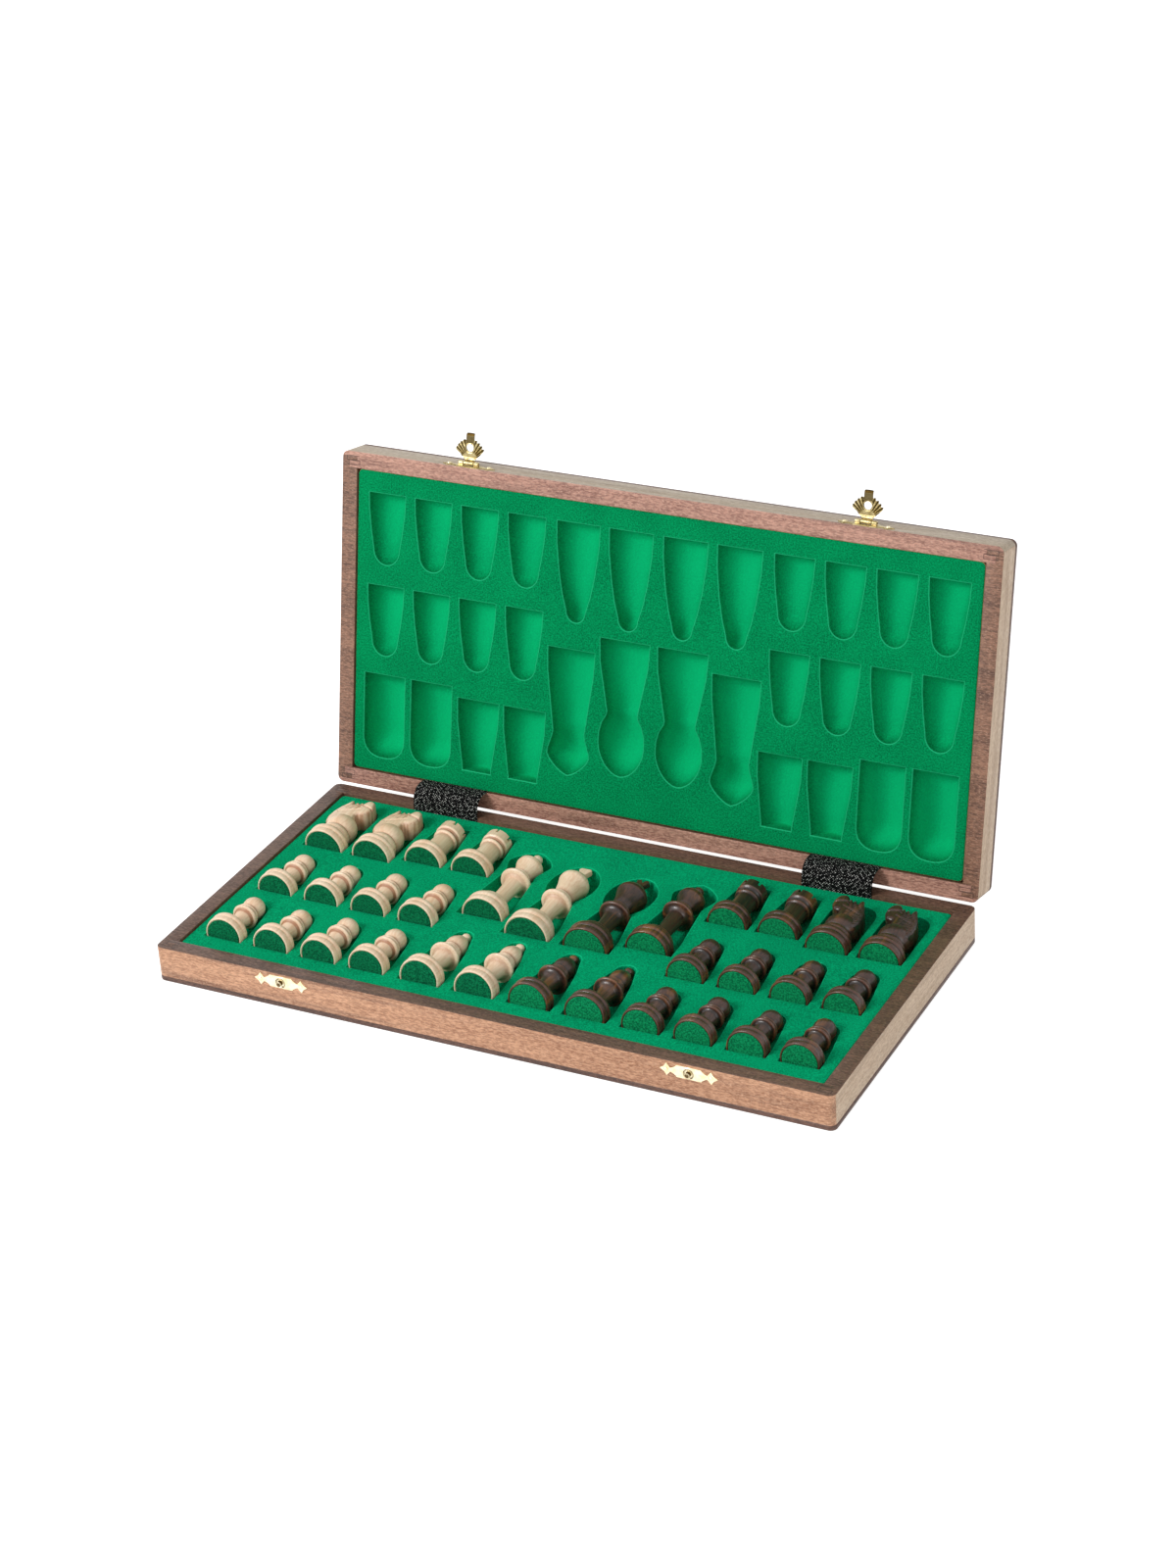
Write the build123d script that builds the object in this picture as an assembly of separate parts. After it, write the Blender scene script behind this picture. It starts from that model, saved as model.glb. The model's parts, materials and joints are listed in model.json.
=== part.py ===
"""Folding chess box: two tray halves on hidden hinges, two hasps and 32 men."""
from build123d import *

import math
import os
from dataclasses import dataclass

# ---------------------------------------------------------------- sizes, mm
# Frame and halves. The origin is the centre of the base underside.
LENGTH = 410.0
DEPTH = 203.0
HALF_HEIGHT = 21.5
WALL = 9.7
CORNER_R = 4.0
PANEL = 3.2

# Locked corner joint, measured across the wall from the outer face.
LAP = 2.7
FINGER = 3.0
TONGUE_LONG = 5.1

# Playing squares let into the outer faces.
SQUARE = 45.0
ROWS, COLUMNS = 4, 8
VENEER = 0.6

# Hinges: the axis runs along X behind the rear faces, half way up the gap.
GAP = 0.8
AXIS_BEHIND = 0.8
OPEN_ANGLE = 102.0
FLAT_ANGLE = 180.0
HINGE_X = 0.305 * LENGTH
HINGE_LONG = 25.0
LEAF = 0.8
LEAF_LET_IN = 0.5
LEAF_DEEP = 8.2
BARREL_R = 1.3
BARREL_ROOM = 0.3
PIN_R = 0.6
RUNNING = 0.04
KNUCKLE_GAP = 0.15
SCREW_R = 0.9
SCREW_HEAD_R = 1.8
SCREW_LONG = 7.0

# Woven tapes that cover the hinges.
TAPE_WIDE = 42.5
TAPE_THICK = 0.6
TAPE_TUCK = 8.0

# Insert tray.
SKIN = 0.8
TRAY_GAP_SIDE = 0.7
TRAY_GAP_FRONT = 0.5
TRAY_GAP_REAR = 0.9
TRAY_CORNER_R = 3.5
BASE_DECK_SINK = 1.8
LID_DECK_SINK = 1.0

# Catches.
CATCH_X = 0.301 * LENGTH
CATCH_Z = 16.4
PLATE_THICK = 0.6
PLATE_BODY = (17.1, 7.4)
STAR_OUT = 12.9
STAR_R = 3.9
STAR_HOLLOW = 2.1
STUD_R = 1.7
STUD_OUT = 2.4
NAIL_R = 0.55
NAIL_HEAD_R = 1.2
NAIL_HEAD = 0.5
NAIL_LONG = 5.0
HASP_UP = 3.8
HASP_PLATE_HIGH = 6.4
HASP_AXIS_OUT = 1.9
HASP_KNUCKLE_R = 1.15
HASP_PIN_R = 0.5
HASP_KNUCKLE_LONG = 6.4
HASP_LUG_LONG = 3.0
HASP_THICK = 0.8
HASP_REACH = 20.5
HASP_WIDE = 19.0
HASP_HOLE_R = 2.1

# Rows: distance of a pocket's flat end from the outer front face. The kings lie
# behind the bishops, whose pockets and bridge need BISHOP_ROOM.
BISHOP_ROOM = 64.7
FRONT_ROW = 0.1138 * DEPTH
MIDDLE_ROW = 0.3867 * DEPTH
QUEEN_ROW = 0.4823 * DEPTH
KING_ROW = FRONT_ROW + BISHOP_ROOM
ROOK_ROW = 0.6828 * DEPTH
KNIGHT_ROW = 0.6542 * DEPTH

# Columns: distances from the middle of the box.
PAWN_X = [(0.2037 + 0.0746 * count) * LENGTH for count in range(4)]
BISHOP_X = [0.0415 * LENGTH, 0.1229 * LENGTH]
QUEEN_X = [0.1273 * LENGTH]
KING_X = [0.0446 * LENGTH]
ROOK_X = [0.198 * LENGTH, 0.2727 * LENGTH]
KNIGHT_X = [0.3493 * LENGTH, 0.4263 * LENGTH]

AXIS_Y = DEPTH / 2 + AXIS_BEHIND
AXIS_Z = HALF_HEIGHT + GAP / 2
FRONT = -DEPTH / 2
REAR = DEPTH / 2
INNER_REAR = REAR - WALL
NEAR_AXIS = BARREL_R + BARREL_ROOM


# ---------------------------------------------------------------- placing
def turned_about_hinge(degrees):
    """Location that turns a shape about the hinge axis, closing way positive."""
    there = Location((0, AXIS_Y, AXIS_Z))
    return there * Location((0, 0, 0), (degrees, 0, 0)) * there.inverse()


BESIDE = Location((0, 2 * AXIS_Y, 0), (0, 0, 180))
LID_AT_REST = turned_about_hinge(FLAT_ANGLE - OPEN_ANGLE) * BESIDE
BASE_AT_REST = Location((0, 0, 0))


def box_between(x, y, z):
    """Box from three (low, high) pairs."""
    size = [high - low for low, high in (x, y, z)]
    middle = [(high + low) / 2 for low, high in (x, y, z)]
    return Pos(*middle) * Box(*size)


def rod(radius, low, high, y, z):
    """Rod along X from low to high, centred on (y, z)."""
    turned = Location(((low + high) / 2, y, z), (0, 90, 0))
    return turned * Cylinder(radius, high - low)


def one(shape):
    """The single solid of a shape, with its seams merged."""
    return shape.clean().solids()[0]


# ---------------------------------------------------------------- a half
def footprint(low, high):
    """Rounded outline of a half between two heights."""
    outline = RectangleRounded(LENGTH, DEPTH, CORNER_R)
    return Pos(0, 0, low) * extrude(outline, high - low)


def hinge_notch(x):
    """Room in a rear slat for one hinge, leaf and barrel."""
    ends = (x - HINGE_LONG / 2, x + HINGE_LONG / 2)
    bed = (HALF_HEIGHT - LEAF_LET_IN, HALF_HEIGHT + 1)
    leaf = box_between(ends, (REAR - LEAF_DEEP, REAR + 1), bed)
    return leaf + rod(NEAR_AXIS, *ends, AXIS_Y, AXIS_Z)


def long_slat(side):
    """Front (-1) or rear (+1) slat with its laps and tongues."""
    outer = side * DEPTH / 2
    low, high = PANEL, HALF_HEIGHT
    ends = LENGTH / 2
    inner = ends - WALL

    def strip(reach, start, stop):
        edges = sorted((outer - side * start, outer - side * stop))
        return box_between((-reach, reach), edges, (low, high))

    slat = strip(inner, 0, WALL)
    slat += strip(ends, 0, LAP)
    slat += strip(inner + TONGUE_LONG, LAP + FINGER, WALL)
    return slat & footprint(low, high)


def short_slat(side):
    """Left (-1) or right (+1) slat with a finger at each end."""
    outer = side * LENGTH / 2
    low, high = PANEL, HALF_HEIGHT

    def strip(reach, start, stop):
        edges = sorted((outer - side * start, outer - side * stop))
        return box_between(edges, (-reach, reach), (low, high))

    slat = strip(DEPTH / 2 - LAP, 0, WALL)
    groove = WALL - TONGUE_LONG
    for end in (-1, 1):
        edges = sorted((end * (DEPTH / 2 - LAP - FINGER), end * (DEPTH / 2 - WALL)))
        depth = sorted((outer - side * groove, outer - side * WALL))
        slat -= box_between(depth, edges, (low, high))
    return slat & footprint(low, high)


def squares(parity):
    """The squares of one tone on the outer face of a half."""
    made = []
    for column in range(COLUMNS):
        for row in range(ROWS):
            if (column + row) % 2 != parity:
                continue
            x = (column - (COLUMNS - 1) / 2) * SQUARE
            y = REAR - (row + 0.5) * SQUARE
            made.append(Pos(x, y, VENEER / 2) * Box(SQUARE, SQUARE, VENEER))
    return made


def panel():
    """Board that closes a half, with a bed for the squares."""
    wide = COLUMNS * SQUARE / 2
    bed = box_between((-wide, wide), (REAR - ROWS * SQUARE, REAR), (0, VENEER))
    return footprint(0, PANEL) - bed


# ---------------------------------------------------------------- hinges
def screw():
    """Countersunk screw pointing down from Z = 0."""
    edges = [
        Line((0, 0, 0), (SCREW_HEAD_R, 0, 0)),
        Line((SCREW_HEAD_R, 0, 0), (SCREW_R, 0, SCREW_R - SCREW_HEAD_R)),
        Line((SCREW_R, 0, SCREW_R - SCREW_HEAD_R), (SCREW_R, 0, SCREW_R - SCREW_LONG)),
        Line((SCREW_R, 0, SCREW_R - SCREW_LONG), (0, 0, -SCREW_LONG)),
        Line((0, 0, -SCREW_LONG), (0, 0, 0)),
    ]
    body = revolve(make_face(edges), Axis.Z)
    slot = Pos(0, 0, -0.15) * Box(2 * SCREW_HEAD_R + 1, 0.4, 0.3)
    return body - slot, body


def screw_places(x):
    """Where the two screws of a leaf sit."""
    top = HALF_HEIGHT - LEAF_LET_IN + LEAF
    y = REAR - LEAF_DEEP / 2 - 0.4
    return [Pos(x + shift, y, top) for shift in (-HINGE_LONG / 4, HINGE_LONG / 4)]


def leaf(x, own, other):
    """Hinge leaf let into the rim; own and other are spans of knuckles along X."""
    bed = HALF_HEIGHT - LEAF_LET_IN
    ends = (x - HINGE_LONG / 2, x + HINGE_LONG / 2)
    plate = box_between(ends, (REAR - LEAF_DEEP, AXIS_Y), (bed, bed + LEAF))
    for low, high in other:
        room = rod(NEAR_AXIS, low - KNUCKLE_GAP, high + KNUCKLE_GAP, AXIS_Y, AXIS_Z)
        plate -= room
    for low, high in own:
        plate += rod(BARREL_R, low, high, AXIS_Y, AXIS_Z)
    plate -= rod(PIN_R + RUNNING, *ends, AXIS_Y, AXIS_Z)
    for place in screw_places(x):
        plate -= place * screw()[1]
    return plate


def knuckle_spans(x):
    """Outer knuckles and the middle knuckle of a hinge."""
    start = x - HINGE_LONG / 2
    third = HINGE_LONG / 3
    outer = [
        (start, start + third - KNUCKLE_GAP),
        (start + 2 * third + KNUCKLE_GAP, start + HINGE_LONG),
    ]
    return outer, [(start + third, start + 2 * third)]


def hinge_pin(x):
    """Pin of a hinge with two peened ends."""
    half = HINGE_LONG / 2
    pin = rod(PIN_R, x - half, x + half, AXIS_Y, AXIS_Z)
    for side in (-1, 1):
        ends = sorted((x + side * half, x + side * (half + 0.4)))
        pin += rod(PIN_R + 0.3, *ends, AXIS_Y, AXIS_Z)
    return pin


def tape(x):
    """Tape tucked behind both trays, slack in front of the hinge."""
    face = INNER_REAR - TAPE_THICK / 2 - 0.1
    low = Vector(0, face, HALF_HEIGHT)
    tuck = Vector(0, face, HALF_HEIGHT - TAPE_TUCK)
    mirror = LID_AT_REST * Pos(0, face, HALF_HEIGHT)
    lid_tuck = LID_AT_REST * Pos(0, face, HALF_HEIGHT - TAPE_TUCK)
    start = mirror.position
    ahead = (start - lid_tuck.position).normalized()
    start = Vector(0, start.Y, start.Z)
    ahead = Vector(0, ahead.Y, ahead.Z)
    end = Vector(0, lid_tuck.position.Y, lid_tuck.position.Z)
    slack = Bezier(low, low + Vector(0, 0, 10), start + ahead * 9, start)
    path = [Line(tuck, low), slack, Line(start, end)]
    wide = Plane(origin=(0, 0, 0), x_dir=(0, 1, 0), z_dir=(1, 0, 0))
    flat = [wide.to_local_coords(edge) for edge in path]
    strip = extrude(trace(Wire(flat), TAPE_THICK), TAPE_WIDE)
    return Pos(x - TAPE_WIDE / 2, 0, 0) * (wide.location * strip)


# ---------------------------------------------------------------- catches
def star():
    """Four-pointed end of a plate, with hollow sides."""
    tips = [Vector(STAR_R, 0).rotate(Axis.Z, 90 * turn) for turn in range(5)]
    dips = [Vector(STAR_HOLLOW, 0).rotate(Axis.Z, 90 * turn + 45) for turn in range(4)]
    sides = zip(tips, dips, tips[1:])
    return make_face([ThreePointArc(*side) for side in sides])


def plate_outline(high):
    """Plate body with a star at each end, in the plane of a wall."""
    outline = RectangleRounded(PLATE_BODY[0], high, 1.0)
    for side in (-1, 1):
        outline += Pos(side * STAR_OUT, 0) * star()
        outline += Pos(side * (PLATE_BODY[0] / 2 + 0.5), 0) * Rectangle(3.0, 2.4)
    return outline


def on_front(x, z, out=0.0):
    """Frame on the front face of the base half: X along, Y up, Z outwards."""
    return Plane(origin=(x, FRONT - out, z), x_dir=(1, 0, 0), z_dir=(0, -1, 0)).location


def nail():
    """Round-headed nail: the head above Z = 0, the shank below."""
    shank = Pos(0, 0, -NAIL_LONG / 2) * Cylinder(NAIL_R, NAIL_LONG)
    return shank + Pos(0, 0, NAIL_HEAD / 2) * Cylinder(NAIL_HEAD_R, NAIL_HEAD)


def nails(x, z, place):
    """The two nails of a plate whose middle is at (x, z)."""
    seats = [on_front(x + side * STAR_OUT, z, PLATE_THICK) for side in (-1, 1)]
    return [place * seat * nail() for seat in seats]


def catch_plate(x):
    """Plate on the base front with a dished middle and a stud."""
    body = extrude(plate_outline(PLATE_BODY[1]), PLATE_THICK)
    for side in (-1, 1):
        body -= Pos(side * STAR_OUT, 0, 0) * Cylinder(NAIL_R, 3)
    ring = Pos(0, 0, PLATE_THICK + 0.2) * (Cylinder(3.4, 0.4) - Cylinder(2.9, 0.4))
    stud = Pos(0, 0, (PLATE_THICK + STUD_OUT) / 2) * Cylinder(STUD_R, PLATE_THICK + STUD_OUT)
    top_edge = stud.edges().group_by(Axis.Z)[-1]
    body = body + ring + fillet(top_edge, 0.6)
    return on_front(x, CATCH_Z) * body


HASP_Z = HALF_HEIGHT - HASP_UP


def hasp_plate():
    """Plate on the lid wall with two lugs that hold the pin."""
    body = extrude(plate_outline(HASP_PLATE_HIGH), PLATE_THICK)
    for side in (-1, 1):
        body -= Pos(side * STAR_OUT, 0, 0) * Cylinder(NAIL_R, 3)
    knuckle = HASP_KNUCKLE_LONG / 2
    for side in (-1, 1):
        ends = sorted((side * (knuckle + 0.2), side * (knuckle + 0.2 + HASP_LUG_LONG)))
        lug = rod(HASP_KNUCKLE_R, *ends, 0, HASP_AXIS_OUT)
        web = box_between(ends, (-HASP_KNUCKLE_R, HASP_KNUCKLE_R), (0, HASP_AXIS_OUT))
        body += lug + web
    return body - rod(HASP_PIN_R, -10, 10, 0, HASP_AXIS_OUT)


def hasp():
    """Hasp fan standing out along Z from its knuckle at the origin, rim side at -Y."""
    neck = HASP_KNUCKLE_LONG / 2
    wide = HASP_WIDE / 2
    right = [
        Line((neck, 0), (neck, 3.6)),
        ThreePointArc((neck, 3.6), (6.6, 5.6), (wide - 0.6, 8.6)),
        ThreePointArc((wide - 0.6, 8.6), (wide, 11.4), (wide - 0.9, 14.0)),
        ThreePointArc((wide - 0.9, 14.0), (wide - 2.2, 16.9), (4.9, 17.4)),
        ThreePointArc((4.9, 17.4), (3.7, 18.6), (2.6, 19.0)),
        ThreePointArc((2.6, 19.0), (1.5, 20.2), (0, HASP_REACH)),
    ]
    left = [edge.mirror(Plane.YZ) for edge in right]
    fan = make_face(right + left + [Line((-neck, 0), (neck, 0))])
    upright = Plane(origin=(0, 0, 0), x_dir=(1, 0, 0), z_dir=(0, -1, 0))
    back = HASP_KNUCKLE_R - HASP_THICK
    sheet = upright.offset(back).location * extrude(fan, HASP_THICK)
    sheet -= Pos(0, 0, 9.6) * Rot(90, 0, 0) * Cylinder(HASP_HOLE_R, 6)
    for side in (-1, 1):
        for count in range(4):
            lean = 14 + 13 * count
            ridge = Cone(0.75, 0.35, 5.4)
            place = Pos(side * (3.9 + 1.05 * count), -HASP_KNUCKLE_R, 12.9 - 0.75 * count)
            sheet += place * Rot(0, side * lean, 0) * ridge
    for up in (4.0, 5.4):
        sheet += rod(0.4, -2.6, 2.6, -HASP_KNUCKLE_R, up)
    knuckle = rod(HASP_KNUCKLE_R, -neck, neck, 0, 0)
    sheet = sheet + knuckle
    return sheet - rod(HASP_PIN_R + RUNNING, -10, 10, 0, 0)


# ---------------------------------------------------------------- men
class Turning:
    """Half outline of a turned shape, from the foot upwards, as (radius, height)."""

    def __init__(self, radius, height=0.0):
        """Start on the axis and go out to the first radius."""
        self.edges = [Line((0, 0, height), (radius, 0, height))]
        self.at = (radius, height)

    def line(self, radius, height):
        """Straight to a new radius and height."""
        here, there = self.at, (radius, height)
        self.edges.append(Line((here[0], 0, here[1]), (there[0], 0, there[1])))
        self.at = there
        return self

    def arc(self, radius, height, bulge):
        """Arc to a new radius and height, bulge mm outwards at its middle."""
        here, there = self.at, (radius, height)
        dr, dh = there[0] - here[0], there[1] - here[1]
        span = math.hypot(dr, dh)
        middle = (
            (here[0] + there[0]) / 2 + bulge * dh / span,
            (here[1] + there[1]) / 2 - bulge * dr / span,
        )
        points = [(r, 0, h) for r, h in (here, middle, there)]
        self.edges.append(ThreePointArc(*points))
        self.at = there
        return self

    def cap(self, height):
        """End on the axis with a round cap, its centre on the axis."""
        radius, low = self.at
        rise = height - low
        sphere = (rise**2 + radius**2) / (2 * rise)
        angle = math.atan2(radius, sphere - rise) / 2
        middle = (sphere * math.sin(angle), height - sphere * (1 - math.cos(angle)))
        points = [(r, 0, h) for r, h in (self.at, middle, (0, height))]
        self.edges.append(ThreePointArc(*points))
        self.at = (0, height)
        return self

    def solid(self):
        """Close on the axis and turn the outline."""
        height = self.at[1]
        if self.at[0] > 0:
            self.line(0, height)
        start = self.edges[0] @ 0
        self.edges.append(Line((0, 0, height), (0, 0, start.Z)))
        return revolve(make_face(self.edges), Axis.Z)


FELT_THICK = 0.8
FELT_LESS = 1.1


@dataclass(frozen=True)
class Man:
    """Main sizes of one kind of man, lengths measured up from the felt."""

    foot_r: float
    ring_top: float
    step_r: float
    step_top: float
    neck_r: float
    neck_at: float
    collar_r: float
    collar_at: float
    collar_thick: float
    head_r: float
    head_at: float
    height: float


PAWN = Man(11.6, 8.2, 10.4, 9.6, 4.6, 17.0, 8.4, 21.6, 2.6, 8.1, 32.5, 40.5)
BISHOP = Man(12.9, 8.6, 11.2, 10.4, 4.8, 20.0, 10.0, 25.4, 2.6, 7.5, 41.5, 56.0)
ROOK = Man(12.9, 8.6, 11.2, 10.2, 6.6, 19.0, 8.2, 28.2, 1.8, 9.3, 33.0, 38.5)
QUEEN = Man(13.9, 5.0, 12.9, 11.0, 4.4, 26.0, 10.0, 34.4, 2.6, 10.0, 56.5, 67.0)
KING = Man(14.2, 5.2, 13.2, 11.6, 4.8, 28.0, 10.2, 37.0, 3.0, 11.0, 63.5, 77.0)
KNIGHT = Man(13.0, 8.6, 11.4, 10.2, 9.0, 13.4, 9.8, 16.0, 2.0, 12.4, 34.0, 48.0)


def felt(man):
    """Felt disc under a foot."""
    return Pos(0, 0, FELT_THICK / 2) * Cylinder(man.foot_r - FELT_LESS, FELT_THICK)


def turned_foot(man):
    """Foot rings, step and cove up to the neck."""
    foot, top = man.foot_r, man.ring_top
    groove = (FELT_THICK + top) / 2
    outline = Turning(foot - 0.5, FELT_THICK)
    outline.arc(foot - 0.3, groove - 0.3, 0.4)
    outline.line(foot - 0.6, groove)
    outline.line(foot - 0.3, groove + 0.3)
    outline.arc(foot - 0.6, top, 0.4)
    outline.line(man.step_r, top + 0.3)
    outline.arc(man.step_r - 0.5, man.step_top, 0.4)
    cove = (man.step_r - man.neck_r) * 0.22
    outline.arc(man.neck_r, man.neck_at, -cove)
    return outline


def collared(man, stem):
    """Foot, neck and collar, ending on the stem above the collar."""
    outline = turned_foot(man)
    low, thick = man.collar_at, man.collar_thick
    outline.arc(man.neck_r + 1.4, low - 0.9, -0.25)
    outline.line(man.collar_r - 1.0, low)
    outline.arc(man.collar_r - 1.0, low + thick, thick * 0.4)
    outline.line(stem, low + thick + 0.6)
    return outline


def pawn():
    """Pawn with a barrel head."""
    outline = collared(PAWN, 6.2)
    outline.arc(6.4, 27.0, -0.3)
    outline.arc(PAWN.head_r - 1.2, PAWN.head_at + 4.6, 1.5)
    outline.cap(PAWN.height)
    return outline.solid()


def bishop():
    """Bishop with an egg-shaped head and a small ball."""
    outline = collared(BISHOP, 7.4)
    outline.arc(7.2, 31.0, 0.6)
    outline.line(5.2, 32.2)
    outline.arc(5.6, 34.6, 0.6)
    outline.line(5.0, 35.2)
    outline.arc(2.0, BISHOP.height - 5.4, 3.9)
    outline.line(1.5, BISHOP.height - 5.0)
    outline.cap(BISHOP.height)
    return outline.solid()


def rook():
    """Rook with a flared, slotted tower."""
    outline = collared(ROOK, 6.8)
    outline.line(7.0, 31.6)
    outline.arc(ROOK.head_r, 34.0, -0.4)
    outline.line(ROOK.head_r, ROOK.height)
    tower = outline.solid()
    tower -= Pos(0, 0, ROOK.height - 1.6) * Cylinder(6.2, 3.3)
    for turn in range(3):
        slot = Box(2 * ROOK.head_r + 2, 2.2, 3.2)
        tower -= Pos(0, 0, ROOK.height - 1.55) * Rot(0, 0, 60 * turn) * slot
    return tower


def queen():
    """Queen with a goblet head and a ball."""
    outline = collared(QUEEN, 7.5)
    outline.arc(7.2, 39.4, 0.5)
    outline.line(5.8, 40.4)
    outline.arc(5.6, 42.4, 0.5)
    outline.line(5.0, 43.0)
    outline.arc(QUEEN.head_r, QUEEN.head_at, -1.0)
    outline.line(QUEEN.head_r - 0.8, QUEEN.head_at + 1.0)
    outline.arc(2.6, QUEEN.height - 6.4, 0.9)
    outline.cap(QUEEN.height)
    return outline.solid()


def king(notched):
    """King with a goblet head and a wedge finial; one side's wedge is notched."""
    outline = collared(KING, 7.9)
    outline.arc(7.6, 42.8, 0.5)
    outline.line(6.2, 43.8)
    outline.arc(6.0, 46.0, 0.5)
    outline.line(5.4, 46.8)
    outline.arc(KING.head_r, KING.head_at, -1.1)
    outline.line(KING.head_r - 0.8, KING.head_at + 1.2)
    outline.arc(3.0, KING.height - 7.2, 0.9)
    body = outline.solid()
    low, top = KING.height - 8.0, KING.height
    side = [(1.6, low), (4.0, top - 1.2), (3.2, top)]
    points = side + [(-x, z) for x, z in reversed(side)]
    wedge = make_face(Polyline(*points, close=True))
    upright = Plane.XZ.offset(-1.6).location
    blade = upright * extrude(wedge, 3.2)
    if notched:
        cut = make_face(Polyline((-1.6, top + 0.1), (0, top - 2.6), (1.6, top + 0.1), close=True))
        blade -= upright * extrude(cut, 3.2)
    return body + blade


def knight():
    """Knight: a turned foot and a carved horse's head, muzzle towards +X."""
    outline = turned_foot(KNIGHT)
    outline.arc(7.4, 21.0, 1.6)
    body = outline.solid()
    silhouette = [
        Line((-7.4, 12.0), (-8.6, 20.0)),
        ThreePointArc((-8.6, 20.0), (-9.2, 33.0), (-3.4, 43.6)),
        ThreePointArc((-3.4, 43.6), (-0.6, 45.6), (0.4, KNIGHT.height)),
        ThreePointArc((0.4, KNIGHT.height), (2.6, 45.6), (3.6, 43.0)),
        ThreePointArc((3.6, 43.0), (7.6, 38.6), (11.2, 33.0)),
        ThreePointArc((11.2, 33.0), (12.0, 30.4), (10.0, 28.8)),
        ThreePointArc((10.0, 28.8), (7.2, 28.6), (4.6, 30.0)),
        ThreePointArc((4.6, 30.0), (4.4, 25.6), (7.6, 20.0)),
        Line((7.6, 20.0), (7.4, 12.0)),
        Line((7.4, 12.0), (-7.4, 12.0)),
    ]
    thick = 11.0
    head = Plane.XZ.offset(-thick / 2).location * extrude(make_face(silhouette), thick)
    round_side = Turning(10.4, 11.0).arc(6.0, KNIGHT.height + 1, 1.6).solid()
    head &= scale(round_side, (1.5, 0.72, 1))
    for count in range(7):
        angle = math.radians(200 - 13.5 * count)
        x, z = 2.4 + 12.4 * math.cos(angle), 29.0 + 15.6 * math.sin(angle)
        head -= Pos(x, 0, z) * Rot(90, 0, 0) * Cylinder(1.0, thick + 2)
    for side in (-1, 1):
        head -= Pos(4.4, side * 4.4, 38.6) * Sphere(1.0)
    ears = Pos(0.6, 0, KNIGHT.height) * Box(6, 2.0, 6.0)
    mouth = Pos(11.0, 0, 30.6) * Rot(0, 24, 0) * Box(6.0, thick + 2, 0.8)
    return body + (head - ears - mouth)


@dataclass(frozen=True)
class Lie:
    """How a kind lies in its pocket: sink of the axis at the foot, head-down tilt."""

    sink: float
    tilt: float
    clear: float = 1.1


def lying(x, row, lie):
    """Location of a man on its side, foot to the front."""
    place = (x, FRONT + row + lie.clear, HALF_HEIGHT - lie.sink)
    return Location(place, (-90 - lie.tilt, 0, 0))


PAWN_LIE = Lie(1.2, 6.0)
MIDDLE_PAWN_LIE = Lie(2.6, 6.0)
BISHOP_LIE = Lie(1.2, 4.5)
ROOK_LIE = Lie(2.2, 4.7)
KNIGHT_LIE = Lie(2.2, 2.0)
QUEEN_LIE = Lie(2.8, 1.5)
KING_LIE = Lie(2.7, 2.5)


def men_places():
    """Places of the left colour's men by kind; the right colour's mirror them."""
    return {
        "king": [(KING_X[0], KING_ROW, KING_LIE)],
        "queen": [(QUEEN_X[0], QUEEN_ROW, QUEEN_LIE)],
        "rooks": [(x, ROOK_ROW, ROOK_LIE) for x in ROOK_X],
        "knights": [(x, KNIGHT_ROW, KNIGHT_LIE) for x in KNIGHT_X],
        "bishops": [(x, FRONT_ROW, BISHOP_LIE) for x in BISHOP_X],
        "pawns": [(x, FRONT_ROW, PAWN_LIE) for x in PAWN_X]
        + [(x, MIDDLE_ROW, MIDDLE_PAWN_LIE) for x in PAWN_X],
    }


# ---------------------------------------------------------------- pockets
@dataclass(frozen=True)
class Pocket:
    """A pocket for one kind of man, its flat end at the foot."""

    man: Man
    lie: Lie
    widths: tuple
    round_end: bool = True

    def deep(self, along):
        """Depth below the deck, so that the tilted man just lies on the floor."""
        man, lie = self.man, self.lie
        tilt = math.radians(lie.tilt)
        reach = min(max(along, man.ring_top), man.head_at)
        share = (reach - man.ring_top) / (man.head_at - man.ring_top)
        radius = man.foot_r + (man.head_r - man.foot_r) * share
        below = radius * math.cos(tilt) + reach * math.sin(tilt)
        return below + lie.sink - BASE_DECK_SINK + FLOOR_CLEAR


FLOOR_CLEAR = 0.3
FOOT_STRAIGHT = 14.0

PAWN_WIDTHS = ((0, 11.9), (FOOT_STRAIGHT, 11.9), (33.1, 9.4))
PAWN_POCKET = Pocket(PAWN, PAWN_LIE, PAWN_WIDTHS)
MIDDLE_PAWN_POCKET = Pocket(PAWN, MIDDLE_PAWN_LIE, PAWN_WIDTHS)
BISHOP_POCKET = Pocket(
    BISHOP, BISHOP_LIE, ((0, 13.5), (FOOT_STRAIGHT, 13.5), (42.0, 9.4), (51.2, 7.0))
)
QUEEN_POCKET = Pocket(
    QUEEN,
    QUEEN_LIE,
    ((0, 14.9), (FOOT_STRAIGHT, 14.9), (50.0, 10.4), (60.0, 13.3), (69.5, 6.0)),
)
KING_POCKET = Pocket(
    KING,
    KING_LIE,
    ((0, 15.4), (FOOT_STRAIGHT, 15.4), (44.5, 10.1), (60.0, 14.0), (66.7, 14.0)),
)
ROOK_POCKET = Pocket(
    ROOK, ROOK_LIE, ((0, 13.4), (FOOT_STRAIGHT, 13.4), (43.3, 9.7)), round_end=False
)
KNIGHT_POCKET = Pocket(KNIGHT, KNIGHT_LIE, ((0, 13.4), (37.8, 13.4)))


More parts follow.
